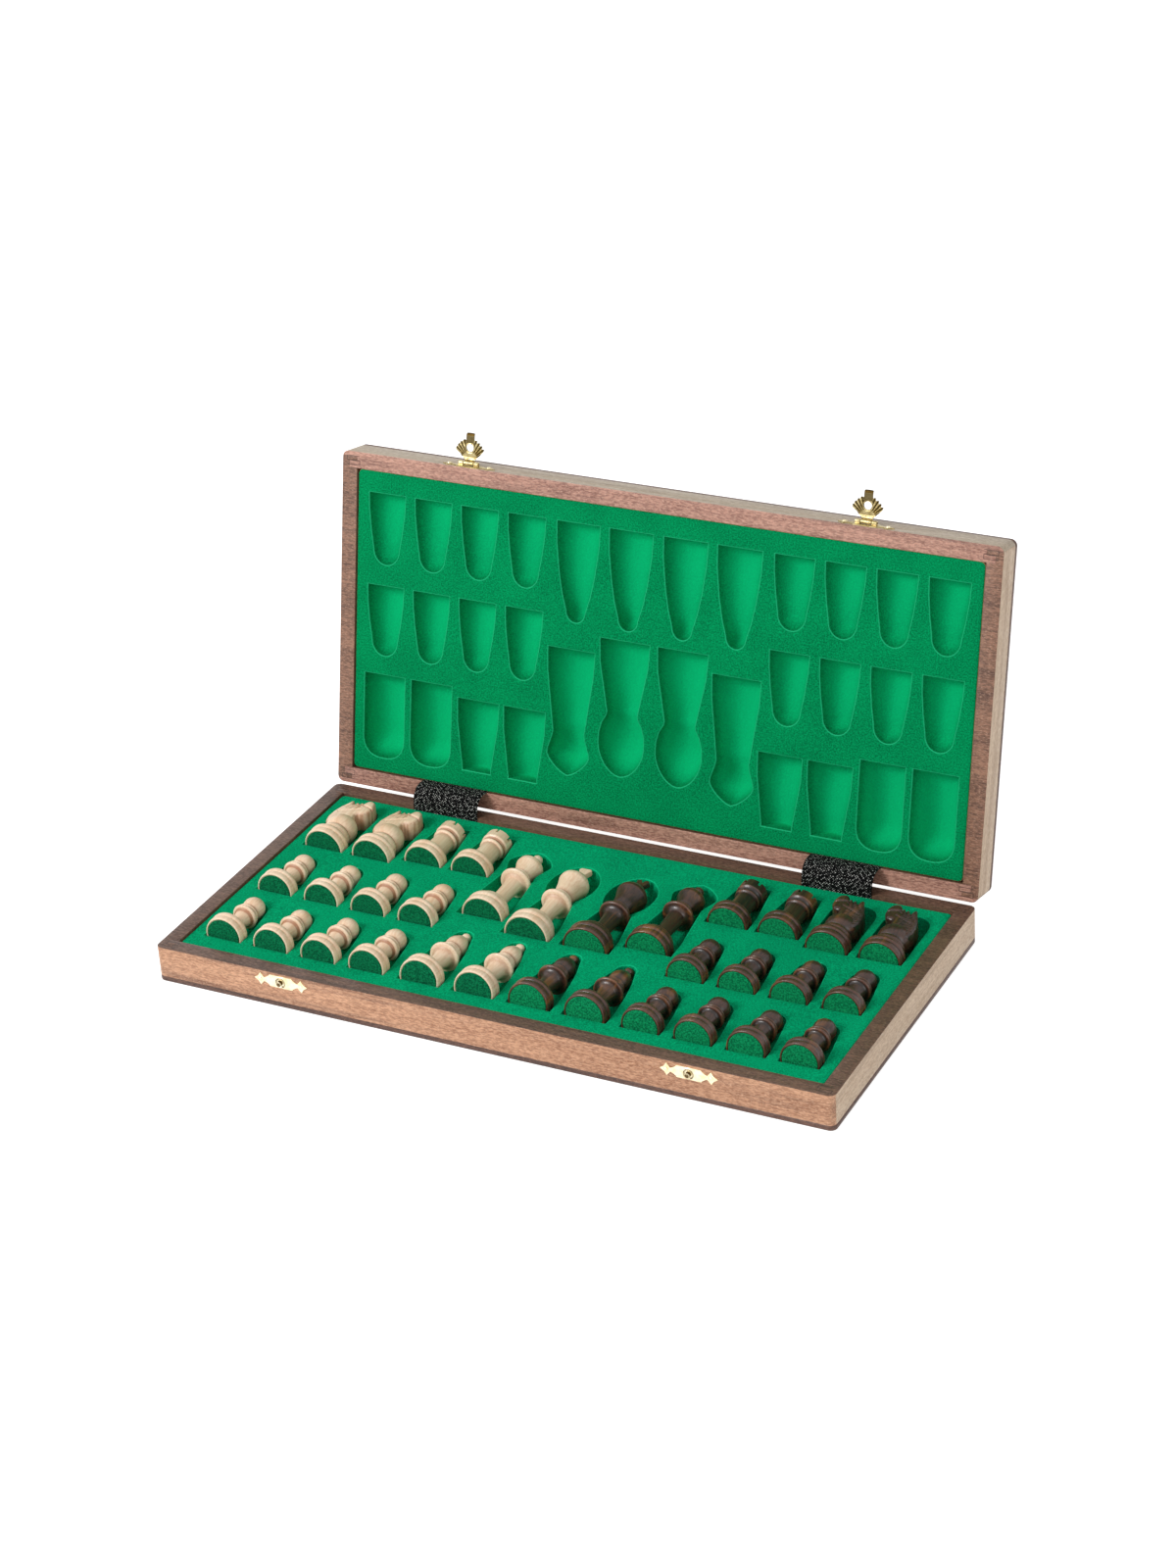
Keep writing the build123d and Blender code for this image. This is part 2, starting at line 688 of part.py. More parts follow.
class Section:
    """Cross-section of a pocket: upright walls above a round floor."""

    def __init__(self, half, deep, top):
        """Work out where the walls meet the floor."""
        self.half, self.top = half, top
        self.floor = -deep
        self.shoulder = min(self.floor + half, top - 0.3)

    def quarter(self):
        """Point of the floor half way between its lowest point and a wall."""
        rise = self.shoulder - self.floor
        radius = (self.half**2 + rise**2) / (2 * rise)
        angle = math.atan2(self.half, radius - rise) / 2
        return radius * math.sin(angle), self.floor + radius * (1 - math.cos(angle))

    def face(self, y):
        """Face across the Y axis."""
        half, shoulder, top = self.half, self.shoulder, self.top
        edges = [
            Line((-half, y, top), (-half, y, shoulder)),
            ThreePointArc((-half, y, shoulder), (0, y, self.floor), (half, y, shoulder)),
            Line((half, y, shoulder), (half, y, top)),
            Line((half, y, top), (-half, y, top)),
        ]
        return make_face(edges)

    def tip(self, y):
        """Half-round end: the section turned about its middle."""
        half, shoulder, top = self.half, self.shoulder, self.top
        x, z = self.quarter()
        edges = [
            Line((0, 0, top), (half, 0, top)),
            Line((half, 0, top), (half, 0, shoulder)),
            ThreePointArc((half, 0, shoulder), (x, 0, z), (0, 0, self.floor)),
            Line((0, 0, self.floor), (0, 0, top)),
        ]
        return Pos(0, y, 0) * revolve(make_face(edges), Axis.Z, 180)


def pocket_body(pocket, top, wider=0.0):
    """Solid of a pocket below the deck, its flat end at Y = 0."""
    sections = []
    for along, half in pocket.widths:
        section = Section(half + wider, pocket.deep(along) + wider, top)
        sections.append([along, section])
    sections[0][0] -= wider
    if not pocket.round_end:
        sections[-1][0] += wider
    body = None
    for (near_y, near), (far_y, far) in zip(sections, sections[1:]):
        piece = loft([near.face(near_y), far.face(far_y)], ruled=True)
        body = piece if body is None else body + piece
    if pocket.round_end:
        far_y, far = sections[-1]
        body += far.tip(far_y)
    return body


def pocket_places():
    """Every pocket of a tray as (pocket, x, distance of its flat end)."""
    rows = (
        (PAWN_POCKET, PAWN_X, FRONT_ROW),
        (BISHOP_POCKET, BISHOP_X, FRONT_ROW),
        (MIDDLE_PAWN_POCKET, PAWN_X, MIDDLE_ROW),
        (QUEEN_POCKET, QUEEN_X, QUEEN_ROW),
        (KING_POCKET, KING_X, KING_ROW),
        (ROOK_POCKET, ROOK_X, ROOK_ROW),
        (KNIGHT_POCKET, KNIGHT_X, KNIGHT_ROW),
    )
    for pocket, columns, row in rows:
        for x in columns:
            yield pocket, -x, FRONT + row
            yield pocket, x, FRONT + row


def insert(sink):
    """Formed tray: a deck with 32 cups and a skirt that stands on the panel."""
    deck = HALF_HEIGHT - sink
    wide = LENGTH - 2 * (WALL + TRAY_GAP_SIDE)
    deep = DEPTH - 2 * WALL - TRAY_GAP_FRONT - TRAY_GAP_REAR
    y = (TRAY_GAP_FRONT - TRAY_GAP_REAR) / 2
    outline = RectangleRounded(wide, deep, TRAY_CORNER_R)
    hollow = RectangleRounded(wide - 2 * SKIN, deep - 2 * SKIN, TRAY_CORNER_R - SKIN)
    tray = Pos(0, y, PANEL) * extrude(outline, deck - PANEL)
    tray -= Pos(0, y, PANEL) * extrude(hollow, deck - PANEL - SKIN)
    cups = {}
    outer, inner = [], []
    for pocket, x, flat in pocket_places():
        if pocket not in cups:
            outside = pocket_body(pocket, -SKIN / 4, SKIN)
            cups[pocket] = (outside, pocket_body(pocket, 2.0))
        place = Pos(x, flat, deck)
        outer.append(place * cups[pocket][0])
        inner.append(place * cups[pocket][1])
    return one(tray + outer - inner)


# ---------------------------------------------------------------- nodes
def half_nodes(name, place, sink):
    """The eight wooden and formed nodes of a half."""
    rear = long_slat(1)
    front = long_slat(-1)
    for side in (-1, 1):
        rear -= hinge_notch(side * HINGE_X)
        for seat in screw_places(side * HINGE_X):
            rear -= seat * screw()[1]
        z = CATCH_Z if name == "base" else HASP_Z
        front -= nails(side * CATCH_X, z, BASE_AT_REST)
    made = {
        "front_slat": front,
        "rear_slat": rear,
        "left_slat": short_slat(-1),
        "right_slat": short_slat(1),
        "panel": panel(),
        "dark_squares": squares(0),
        "light_squares": squares(1),
        "insert": insert(sink),
    }
    return {f"{name}_{part}": placed(shape, place) for part, shape in made.items()}


def placed(shape, place):
    """Shape or list of shapes moved to its place."""
    if isinstance(shape, list):
        return [place * each for each in shape]
    return place * shape


def hardware_nodes():
    """Hinges, tapes and catches; left and right as seen from the front at rest."""
    made = {}
    for side, name in ((-1, "left"), (1, "right")):
        outer, middle = knuckle_spans(side * HINGE_X)
        lid_outer, lid_middle = knuckle_spans(-side * HINGE_X)
        made[f"{name}_hinge_base_leaf"] = leaf(side * HINGE_X, outer, middle)
        made[f"{name}_hinge_lid_leaf"] = LID_AT_REST * leaf(-side * HINGE_X, lid_middle, lid_outer)
        made[f"{name}_hinge_pin"] = hinge_pin(side * HINGE_X)
        made[f"{name}_tape"] = tape(side * HINGE_X)
        made[f"{name}_catch_plate"] = catch_plate(side * CATCH_X)
        seat = LID_AT_REST * on_front(-side * CATCH_X, HASP_Z)
        axis = seat * Pos(0, 0, HASP_AXIS_OUT)
        pin = rod(HASP_PIN_R, -HASP_KNUCKLE_LONG / 2 - 3.2, HASP_KNUCKLE_LONG / 2 + 3.2, 0, 0)
        made[f"{name}_hasp_plate"] = seat * hasp_plate()
        made[f"{name}_hasp"] = axis * hasp()
        made[f"{name}_hasp_pin"] = axis * pin
    screws = [seat for side in (-1, 1) for seat in screw_places(side * HINGE_X)]
    made["base_hinge_screws"] = [seat * screw()[0] for seat in screws]
    made["lid_hinge_screws"] = [LID_AT_REST * seat * screw()[0] for seat in screws]
    for name, z, place in (
        ("catch_nails", CATCH_Z, BASE_AT_REST),
        ("hasp_nails", HASP_Z, LID_AT_REST),
    ):
        made[name] = nails(-CATCH_X, z, place) + nails(CATCH_X, z, place)
    return made


def men_nodes():
    """Men and their felts, one node of each per kind and colour."""
    shapes = {
        "queen": (queen(), QUEEN),
        "rooks": (rook(), ROOK),
        "bishops": (bishop(), BISHOP),
        "pawns": (pawn(), PAWN),
    }
    horse = knight()
    made = {}
    for colour, side in (("white", -1), ("black", 1)):
        shapes["king"] = (king(notched=colour == "black"), KING)
        turned = 0 if colour == "white" else 180
        shapes["knights"] = (Rot(0, 0, turned) * horse, KNIGHT)
        for kind, places in men_places().items():
            shape, man = shapes[kind]
            seats = [lying(side * x, row, lie) for x, row, lie in places]
            made[f"{colour}_{kind}"] = [seat * shape for seat in seats]
            made[f"{colour}_{kind}_felt"] = [seat * felt(man) for seat in seats]
    return made


def write_nodes(nodes):
    """Write one STEP file per node."""
    os.makedirs("parts", exist_ok=True)
    for name, shape in nodes.items():
        solids = [each for part in as_list(shape) for each in part.solids()]
        node = solids[0] if len(solids) == 1 else Compound(children=solids)
        node.label = name
        export_step(node, f"parts/{name}.step")


def as_list(shape):
    """A shape or a list of shapes, always as a list."""
    return shape if isinstance(shape, list) else [shape]


nodes = half_nodes("base", BASE_AT_REST, BASE_DECK_SINK)
nodes |= half_nodes("lid", LID_AT_REST, LID_DECK_SINK)
nodes |= hardware_nodes()
nodes |= men_nodes()
write_nodes(nodes)
print(len(nodes), "nodes")
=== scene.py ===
"""Dressed scene of a folding chess box: flocked trays, turned men, brass catches."""

from __future__ import annotations

import json
import logging
import math
from dataclasses import dataclass, field, replace
from enum import Enum
from typing import Callable, Iterable, Iterator, Sequence

import bmesh
import bpy
from bpy.types import Material, Mesh, Node, NodeSocket as Socket, NodeTree, Object
from mathutils import Matrix, Vector
from mathutils.geometry import delaunay_2d_cdt

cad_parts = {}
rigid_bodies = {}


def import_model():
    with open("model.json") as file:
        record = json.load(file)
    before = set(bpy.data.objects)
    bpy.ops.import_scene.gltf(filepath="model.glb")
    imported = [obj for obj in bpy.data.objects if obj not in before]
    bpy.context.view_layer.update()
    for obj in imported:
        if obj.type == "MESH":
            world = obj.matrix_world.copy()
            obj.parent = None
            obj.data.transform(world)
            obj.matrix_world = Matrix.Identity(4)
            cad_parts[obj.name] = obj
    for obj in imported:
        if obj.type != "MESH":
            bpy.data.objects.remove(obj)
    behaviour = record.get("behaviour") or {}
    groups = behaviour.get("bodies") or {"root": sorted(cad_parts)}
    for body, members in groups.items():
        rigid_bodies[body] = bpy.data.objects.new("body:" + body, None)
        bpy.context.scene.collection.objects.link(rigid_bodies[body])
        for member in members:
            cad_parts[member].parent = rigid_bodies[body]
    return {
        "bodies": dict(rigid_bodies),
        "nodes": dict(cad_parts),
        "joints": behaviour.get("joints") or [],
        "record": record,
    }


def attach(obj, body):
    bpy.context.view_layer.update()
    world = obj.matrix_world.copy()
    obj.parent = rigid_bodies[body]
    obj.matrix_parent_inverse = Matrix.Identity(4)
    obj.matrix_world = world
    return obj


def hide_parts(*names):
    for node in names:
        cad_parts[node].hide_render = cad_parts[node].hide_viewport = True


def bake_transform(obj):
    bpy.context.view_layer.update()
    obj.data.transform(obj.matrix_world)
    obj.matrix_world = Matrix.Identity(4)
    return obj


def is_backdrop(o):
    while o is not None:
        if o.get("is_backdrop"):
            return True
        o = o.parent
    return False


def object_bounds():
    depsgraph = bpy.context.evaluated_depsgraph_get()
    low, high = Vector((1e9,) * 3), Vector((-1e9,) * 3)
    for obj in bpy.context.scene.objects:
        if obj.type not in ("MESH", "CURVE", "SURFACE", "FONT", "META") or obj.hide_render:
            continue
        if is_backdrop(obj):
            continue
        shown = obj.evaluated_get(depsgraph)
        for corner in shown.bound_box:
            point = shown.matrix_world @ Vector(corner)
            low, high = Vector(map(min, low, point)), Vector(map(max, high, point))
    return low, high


LOG = logging.getLogger("chess_box")
MM = 0.001
Point = tuple[float, float, float]
Spot = tuple[float, float]
Loop = list[Spot]
Height = Callable[[float, float], float]
Rgb = tuple[int, int, int]
Colour = tuple[float, float, float, float]


def srgb(red: float, green: float, blue: float) -> Colour:
    """Turn a colour of 0 to 255 as seen into the linear one that a shader takes.

    Args:
        red: Red, 0 to 255.
        green: Green, 0 to 255.
        blue: Blue, 0 to 255.

    Returns:
        The linear colour with full alpha.
    """
    seen = [value / 255.0 for value in (red, green, blue)]
    linear = [v / 12.92 if v <= 0.04045 else ((v + 0.055) / 1.055) ** 2.4 for v in seen]
    return (linear[0], linear[1], linear[2], 1.0)


# ------------ shader tools
class Shade:
    """Adds nodes to one shader tree and joins them."""

    def __init__(self, tree: NodeTree) -> None:
        """Keep the tree that the nodes go into."""
        self.tree = tree

    def feed(self, socket: Socket, value: object) -> None:
        """Join a socket to another one, or give it a plain value.

        Args:
            socket: The input to fill.
            value: An output socket, or a number, colour or vector.
        """
        if isinstance(value, Socket):
            self.tree.links.new(value, socket)
        else:
            socket.default_value = value

    def node(self, kind: str, feeds: dict | None = None, **settings: object) -> Node:
        """Add one node.

        Args:
            kind: Blender's name of the node type.
            feeds: What goes into its inputs, by input name or index.
            **settings: Properties set on the node itself.

        Returns:
            The new node.
        """
        made = self.tree.nodes.new(kind)
        for key, value in settings.items():
            setattr(made, key, value)
        self.fill(made, feeds or {})
        return made

    def fill(self, node: Node, feeds: dict) -> None:
        """Fill several inputs of a node, each by its name or index."""
        for key, value in feeds.items():
            self.feed(node.inputs[key], value)

    def math(self, operation: str, *values: object) -> Socket:
        """Add a Math node and return its output."""
        feeds = dict(enumerate(values))
        return self.node("ShaderNodeMath", feeds, operation=operation).outputs[0]

    def mix(self, factor: object, low: object, high: object) -> Socket:
        """Mix two colours.

        Args:
            factor: Share of the second colour.
            low: First colour, as a socket or from 0 to 255.
            high: Second colour, as a socket or from 0 to 255.

        Returns:
            The mixed colour.
        """
        low, high = (srgb(*each) if isinstance(each, tuple) else each for each in (low, high))
        feeds = {0: factor, 6: low, 7: high}
        return self.node("ShaderNodeMix", feeds, data_type="RGBA", blend_type="MIX").outputs[2]

    def kept(self, name: str, output: str) -> Socket:
        """Read a value that the mesh carries at its points."""
        return self.node("ShaderNodeAttribute", attribute_name=name).outputs[output]

    def blend(self, *shares: tuple[Socket, float]) -> Socket:
        """Add values up, each times its share.

        Args:
            *shares: Each value with its share.

        Returns:
            The sum.
        """
        total = self.math("MULTIPLY", *shares[0])
        for value, share in shares[1:]:
            total = self.math("MULTIPLY_ADD", value, share, total)
        return total

    def span(self, value: object, low: float, high: float, start: float = 0.0, end: float = 1.0) -> Socket:
        """Map a value from low and high to start and end, clamped."""
        feeds = {0: value, 1: low, 2: high, 3: start, 4: end}
        return self.node("ShaderNodeMapRange", feeds, interpolation_type="SMOOTHSTEP").outputs[0]

    def noise(
        self, vector: object, scale: float, detail: float = 2.0, rough: float = 0.5, bend: float = 0.0
    ) -> Socket:
        """Noise at a scale in cells for each metre, detail octaves deep and bent by a distortion."""
        feeds = {"Vector": vector, "Scale": scale, "Detail": detail, "Roughness": rough, "Distortion": bend}
        return self.node("ShaderNodeTexNoise", feeds).outputs[0]

    def join(self, operation: str, *vectors: object) -> Socket:
        """Add a Vector Math node and return its output."""
        feeds = dict(enumerate(vectors))
        return self.node("ShaderNodeVectorMath", feeds, operation=operation).outputs[0]

    def bump(self, height: object, depth: float, strength: float = 1.0) -> Socket:
        """Normal from a height of 0 to 1, with the depth of a full step in metres."""
        feeds = {"Height": height, "Distance": depth, "Strength": strength}
        return self.node("ShaderNodeBump", feeds).outputs[0]


def fresh_material(name: str) -> tuple[Material, Shade, Node]:
    """Make an empty material with one Principled shader.

    Args:
        name: Name of the material.

    Returns:
        The material, its node builder and the Principled node.
    """
    material = bpy.data.materials.new(name)
    material.use_nodes = True
    shade = Shade(material.node_tree)
    surface = material.node_tree.nodes["Principled BSDF"]
    return material, shade, surface


def own_place(shade: Shade) -> Socket:
    """The piece's own coordinates, kept on its mesh in metres."""
    return shade.kept("own", "Vector")


def shared_group(
    name: str, inputs: Sequence[tuple[str, str, object]], outputs: Sequence[str]
) -> tuple[NodeTree, Shade, Node, Node]:
    """Start a shader node group.

    Args:
        name: Name of the group.
        inputs: Name, socket type and default of each input.
        outputs: Name of each output, which is a value.

    Returns:
        The group, its node builder, its input node and its output node.
    """
    tree = bpy.data.node_groups.new(name, "ShaderNodeTree")
    for title, kind, default in inputs:
        socket = tree.interface.new_socket(title, in_out="INPUT", socket_type=kind)
        if default is not None:
            socket.default_value = default
    for title in outputs:
        tree.interface.new_socket(title, in_out="OUTPUT", socket_type="NodeSocketFloat")
    shade = Shade(tree)
    return tree, shade, shade.node("NodeGroupInput"), shade.node("NodeGroupOutput")


def long_grain_group() -> NodeTree:
    """Wood figure shared by frames, panels, squares and men.

    Returns:
        A group that turns a place into streaks, short grit, flecks, figure and stains.
    """
    tree, shade, into, out = shared_group(
        "long_grain",
        (("Place", "NodeSocketVector", None), ("Stretch", "NodeSocketVector", (0.07, 1.0, 1.0))),
        ("Streak", "Grit", "Fleck", "Figure", "Stain"),
    )
    place, by = into.outputs[0], into.outputs[1]
    long = shade.join("MULTIPLY", place, by)
    wave = shade.noise(long, 60.0, 2.0, 0.5, 1.2)
    moved = shade.join("ADD", long, shade.join("MULTIPLY", wave, (0.0, 0.004, 0.004)))
    short = shade.join("MULTIPLY_ADD", by, (0.74, 0.74, 0.74), (0.26, 0.26, 0.26))
    grains = shade.join("MULTIPLY", place, short)
    dashes = shade.join("ADD", grains, (0.31, 0.17, 0.23))
    stains = shade.join("ADD", long, (0.7, 0.4, 0.9))
    shade.fill(out, {
        "Streak": shade.span(shade.noise(moved, 900.0, 3.0, 0.62), 0.30, 0.72),
        "Grit": shade.span(shade.noise(grains, 1150.0, 2.0, 0.65), 0.38, 0.62),
        "Fleck": shade.span(shade.noise(dashes, 2000.0, 1.0, 0.4), 0.56, 0.68),
        "Figure": shade.span(shade.noise(moved, 75.0, 2.0, 0.6, 0.8), 0.30, 0.70),
        "Stain": shade.span(shade.noise(stains, 110.0, 3.0, 0.65, 0.6), 0.52, 0.72),
    })
    return tree


def speckle_group() -> NodeTree:
    """Fine fibres shared by flock and felt.

    Returns:
        A group that turns a place into a fine speckle and a broad cloud.
    """
    tree, shade, into, out = shared_group(
        "fibre_speckle",
        (("Place", "NodeSocketVector", None), ("Fibre", "NodeSocketFloat", 1500.0)),
        ("Speckle", "Cloud"),
    )
    place, fibre = into.outputs[0], into.outputs[1]
    shade.fill(out, {
        "Speckle": shade.span(shade.noise(place, fibre, 2.0, 0.7), 0.28, 0.72),
        "Cloud": shade.span(shade.noise(place, 35.0, 2.0, 0.6), 0.3, 0.7),
    })
    return tree


class Groups:
    """The shared node groups, each made once."""

    made: dict[str, NodeTree] = {}

    @classmethod
    def use(cls, shade: Shade, maker: Callable[[], NodeTree], feeds: dict) -> Node:
        """Put a shared group into a material.

        Args:
            shade: Node builder of the material.
            maker: Function that makes the group.
            feeds: What goes into the group's inputs.

        Returns:
            The group node.
        """
        if maker.__name__ not in cls.made:
            cls.made[maker.__name__] = maker()
        made = shade.node("ShaderNodeGroup", node_tree=cls.made[maker.__name__])
        shade.fill(made, feeds)
        return made


# Lines of a corner joint: place and half size along X, then along Y, in millimetres.
FINGERS = (
    (197.8, 4.2, 93.6, 0.26), (197.8, 4.2, 96.2, 0.26), (197.8, 4.2, 98.8, 0.26),
    (193.6, 0.26, 94.9, 1.4), (202.0, 0.26, 97.5, 1.4),
)


def joint_lines(shade: Shade, place: Socket) -> Socket:
    """Thin lines of the fingers that join the slats at the four corners.

    Args:
        shade: Node builder of the material.
        place: Coordinates of a half in metres, its middle at the origin.

    Returns:
        1 on a line, 0 off it.
    """
    away = shade.node("ShaderNodeSeparateXYZ", {0: shade.join("ABSOLUTE", place)})
    found = None
    for x, half_x, y, half_y in FINGERS:
        across = shade.math("COMPARE", away.outputs[0], x * MM, half_x * MM)
        line = shade.math("MULTIPLY", across, shade.math("COMPARE", away.outputs[1], y * MM, half_y * MM))
        found = line if found is None else shade.math("MAXIMUM", found, line)
    return found


# ------------ finishes
class Run(Enum):
    """Way that the grain of a board runs."""

    ACROSS = (0.06, 1.0, 1.0)
    DEEP = (1.0, 0.06, 1.0)
    UPRIGHT = (1.0, 1.0, 0.06)


@dataclass(frozen=True)
class StainedBoard:
    """Stained beech with grit, flecks, a broad figure and darker stains."""

    name: str
    dark: Rgb
    light: Rgb
    fleck: Rgb
    stain: Rgb
    run: Run
    rough: float = 0.42
    fleck_share: float = 0.32
    stain_share: float = 0.5
    joints: float = 0.0

    def material(self, turn: Point | None = None) -> Material:
        """Make the finish.

        Args:
            turn: Turn from the scene to the board's own frame, in radians, for a
                plain solid; None for a piece that carries its own coordinates.

        Returns:
            The material.
        """
        material, shade, surface = fresh_material(self.name)
        if turn is None:
            place = own_place(shade)
        else:
            seen = shade.node("ShaderNodeTexCoord").outputs["Object"]
            place = shade.node("ShaderNodeMapping", {"Vector": seen, "Rotation": turn}).outputs[0]
        grain = Groups.use(shade, long_grain_group, {"Place": place, "Stretch": self.run.value}).outputs
        value = shade.blend((grain["Figure"], 0.26), (grain["Streak"], 0.27), (grain["Grit"], 0.47))
        wood = shade.mix(value, self.dark, self.light)
        wood = shade.mix(shade.math("MULTIPLY", grain["Stain"], self.stain_share), wood, self.stain)
        wood = shade.mix(shade.math("MULTIPLY", grain["Fleck"], self.fleck_share), wood, self.fleck)
        if self.joints:
            lines = shade.math("MULTIPLY", joint_lines(shade, place), self.joints)
            wood = shade.mix(lines, wood, self.stain)
        shade.fill(surface, {
            "Base Color": wood,
            "Roughness": shade.span(value, 0.0, 1.0, self.rough + 0.08, self.rough - 0.06),
            "Normal": shade.bump(value, 0.00006, 0.6),
        })
        return material


@dataclass(frozen=True)
class Flock:
    """Dense green flock on a formed tray, with a painted highlight along its lips and painted light on its
    floors.
    """

    name: str
    dark: Rgb
    light: Rgb
    # lip: painted highlight along the cup lips; floor and its share: painted light on the pocket floors.
    lip: Rgb
    floor: Rgb
    floor_light_share: float

    def material(self) -> Material:
        """Make the finish.

        Returns:
            The material.
        """
        material, shade, surface = fresh_material(self.name)
        place = own_place(shade)
        fibre = Groups.use(shade, speckle_group, {"Place": place, "Fibre": 1150.0}).outputs
        value = shade.blend((fibre["Cloud"], 0.15), (fibre["Speckle"], 0.85))
        cloth = shade.mix(value, self.dark, self.light)
        edge = shade.kept("hollow", "Fac")
        # Painted light on the pocket floors, rising with depth.
        cloth = shade.mix(shade.span(edge, 0.05, 0.9, 0.0, self.floor_light_share), cloth, self.floor)
        # Painted highlight along the cup lips, where the mark is negative.
        cloth = shade.mix(shade.span(edge, -0.05, -0.9, 0.0, 0.65), cloth, self.lip)
        shade.fill(surface, {
            "Base Color": cloth,
            "Roughness": 0.95,
            "Specular IOR Level": 0.04,
            "Sheen Weight": 0.05,
            "Sheen Roughness": 0.4,
            "Sheen Tint": srgb(60, 220, 150),
            "Normal": shade.bump(fibre["Speckle"], 0.00022, 0.7),
        })
        return material


@dataclass(frozen=True)
class Felt:
    """Mottled felt under a man's foot."""

    name: str
    dark: Rgb
    light: Rgb

    def material(self) -> Material:
        """Make the finish.

        Returns:
            The material.
        """
        material, shade, surface = fresh_material(self.name)
        place = own_place(shade)
        speckle = Groups.use(shade, speckle_group, {"Place": place, "Fibre": 1100.0}).outputs["Speckle"]
        shade.fill(surface, {
            "Base Color": shade.mix(shade.span(speckle, 0.15, 0.85), self.dark, self.light),
            "Roughness": 0.97,
            "Specular IOR Level": 0.1,
            "Normal": shade.bump(speckle, 0.0003, 0.8),
        })
        return material


@dataclass(frozen=True)
class TurnedWood:
    """Lacquered wood of a turned man, with painted shade in its hollows and a painted highlight on its
    edges.
    """

    name: str
    dark: Rgb
    light: Rgb
    # hollow: painted shade in the grooves; edge: painted highlight on the edges.
    hollow: Rgb
    edge: Rgb
    amber: Rgb
    mottle: float
    rough: float
    coat: float

    def material(self) -> Material:
        """Make the finish.

        Returns:
            The material.
        """
        material, shade, surface = fresh_material(self.name)
        place = own_place(shade)
        feeds = {"Place": place, "Stretch": Run.UPRIGHT.value}
        grain = Groups.use(shade, long_grain_group, feeds).outputs
        value = shade.blend((grain["Figure"], 0.4), (grain["Streak"], 0.6))
        wood = shade.mix(value, self.dark, self.light)
        wood = shade.mix(shade.math("MULTIPLY", grain["Stain"], self.mottle), wood, self.amber)
        hollow = shade.kept("hollow", "Fac")
        # Painted shade in the grooves.
        wood = shade.mix(shade.span(hollow, 0.03, 0.55, 0.0, 0.95), wood, self.hollow)
        # Painted highlight on the edges.
        wood = shade.mix(shade.span(hollow, -0.05, -0.9, 0.0, 0.55), wood, self.edge)
        shade.fill(surface, {
            "Base Color": wood,
            "Roughness": shade.span(value, 0.0, 1.0, self.rough + 0.06, self.rough - 0.05),
            "Coat Weight": self.coat,
            "Coat Roughness": 0.18,
            "Normal": shade.bump(value, 0.00005, 0.5),
        })
        return material


@dataclass(frozen=True)
class Plated:
    """Thin brass plating on pressed steel."""

    name: str
    tone: Rgb
    shadow: Rgb
    # Darkest tone, reached where the mark is high; partly painted shade.
    darkening: Rgb
    rough: float

    def material(self) -> Material:
        """Make the finish.

        Returns:
            The material.
        """
        material, shade, surface = fresh_material(self.name)
        place = shade.node("ShaderNodeTexCoord").outputs["Object"]
        cloud = shade.span(shade.noise(place, 320.0, 3.0, 0.65), 0.35, 0.7)
        metal = shade.mix(cloud, self.tone, self.shadow)
        # Darker where the mark is high: painted shade in the hasp's grooves and in the creases of turned
        # parts, and a darker stud and a darker band inside the catch plate's ring.
        metal = shade.mix(shade.span(shade.kept("hollow", "Fac"), 0.05, 0.8), metal, self.darkening)
        shade.fill(surface, {
            "Base Color": metal,
            "Metallic": 1.0,
            "Roughness": shade.span(cloud, 0.0, 1.0, self.rough, self.rough + 0.14),
            "Normal": shade.bump(shade.noise(place, 1600.0), 0.00004, 0.5),
        })
        return material


@dataclass(frozen=True)
class WovenTape:
    """Black woven tape with pale flecks where the weave opens."""

    name: str
    ground: Rgb
    thread: Rgb
    fleck: Rgb
    weft_pitch: float = 1.5
    warp_pitch: float = 1.7

    def material(self) -> Material:
        """Make the finish.

        Returns:
            The material.
        """
        material, shade, surface = fresh_material(self.name)
        place = shade.kept("weave", "Vector")
        across = shade.node("ShaderNodeSeparateXYZ", {0: place}).outputs
        per_metre = 2000.0 * math.pi
        wefts = shade.math("SINE", shade.math("MULTIPLY", across[1], per_metre / self.weft_pitch))
        warps = shade.math("SINE", shade.math("MULTIPLY", across[0], per_metre / self.warp_pitch))
        weave = shade.span(shade.math("MULTIPLY", wefts, warps), -0.8, 0.8)
        cloth = shade.mix(weave, self.ground, self.thread)
        spots = shade.noise(place, 700.0, 1.0, 0.5)
        dots = shade.math("MULTIPLY", shade.span(weave, 0.66, 0.9), shade.span(spots, 0.48, 0.6))
        shade.fill(surface, {
            "Base Color": shade.mix(dots, cloth, self.fleck),
            "Roughness": 0.9,
            "Specular IOR Level": 0.08,
            "Normal": shade.bump(weave, 0.0002, 0.8),
        })
        return material


# ------------ mesh tools
SHARP = 40.0


class Frame:
    """Where the two halves are at rest, in millimetres and degrees."""

    axis = Vector((0.0, 102.3, 21.9))
    open_angle = 102.0

    @classmethod
    def base(cls) -> Matrix:
        """Place of the lower half, in millimetres."""
        return Matrix.Identity(4)

    @classmethod
    def lid(cls) -> Matrix:
        """Place of the upper half: turned over beside the lower one, then leant.

        Returns:
            Its frame in the scene.
        """
        over = Matrix.Translation((0.0, 2.0 * cls.axis.y, 0.0)) @ Matrix.Rotation(math.pi, 4, "Z")
        lean = Matrix.Rotation(math.radians(180.0 - cls.open_angle), 4, "X")
        there = Matrix.Translation(cls.axis)
        return there @ lean @ there.inverted() @ over


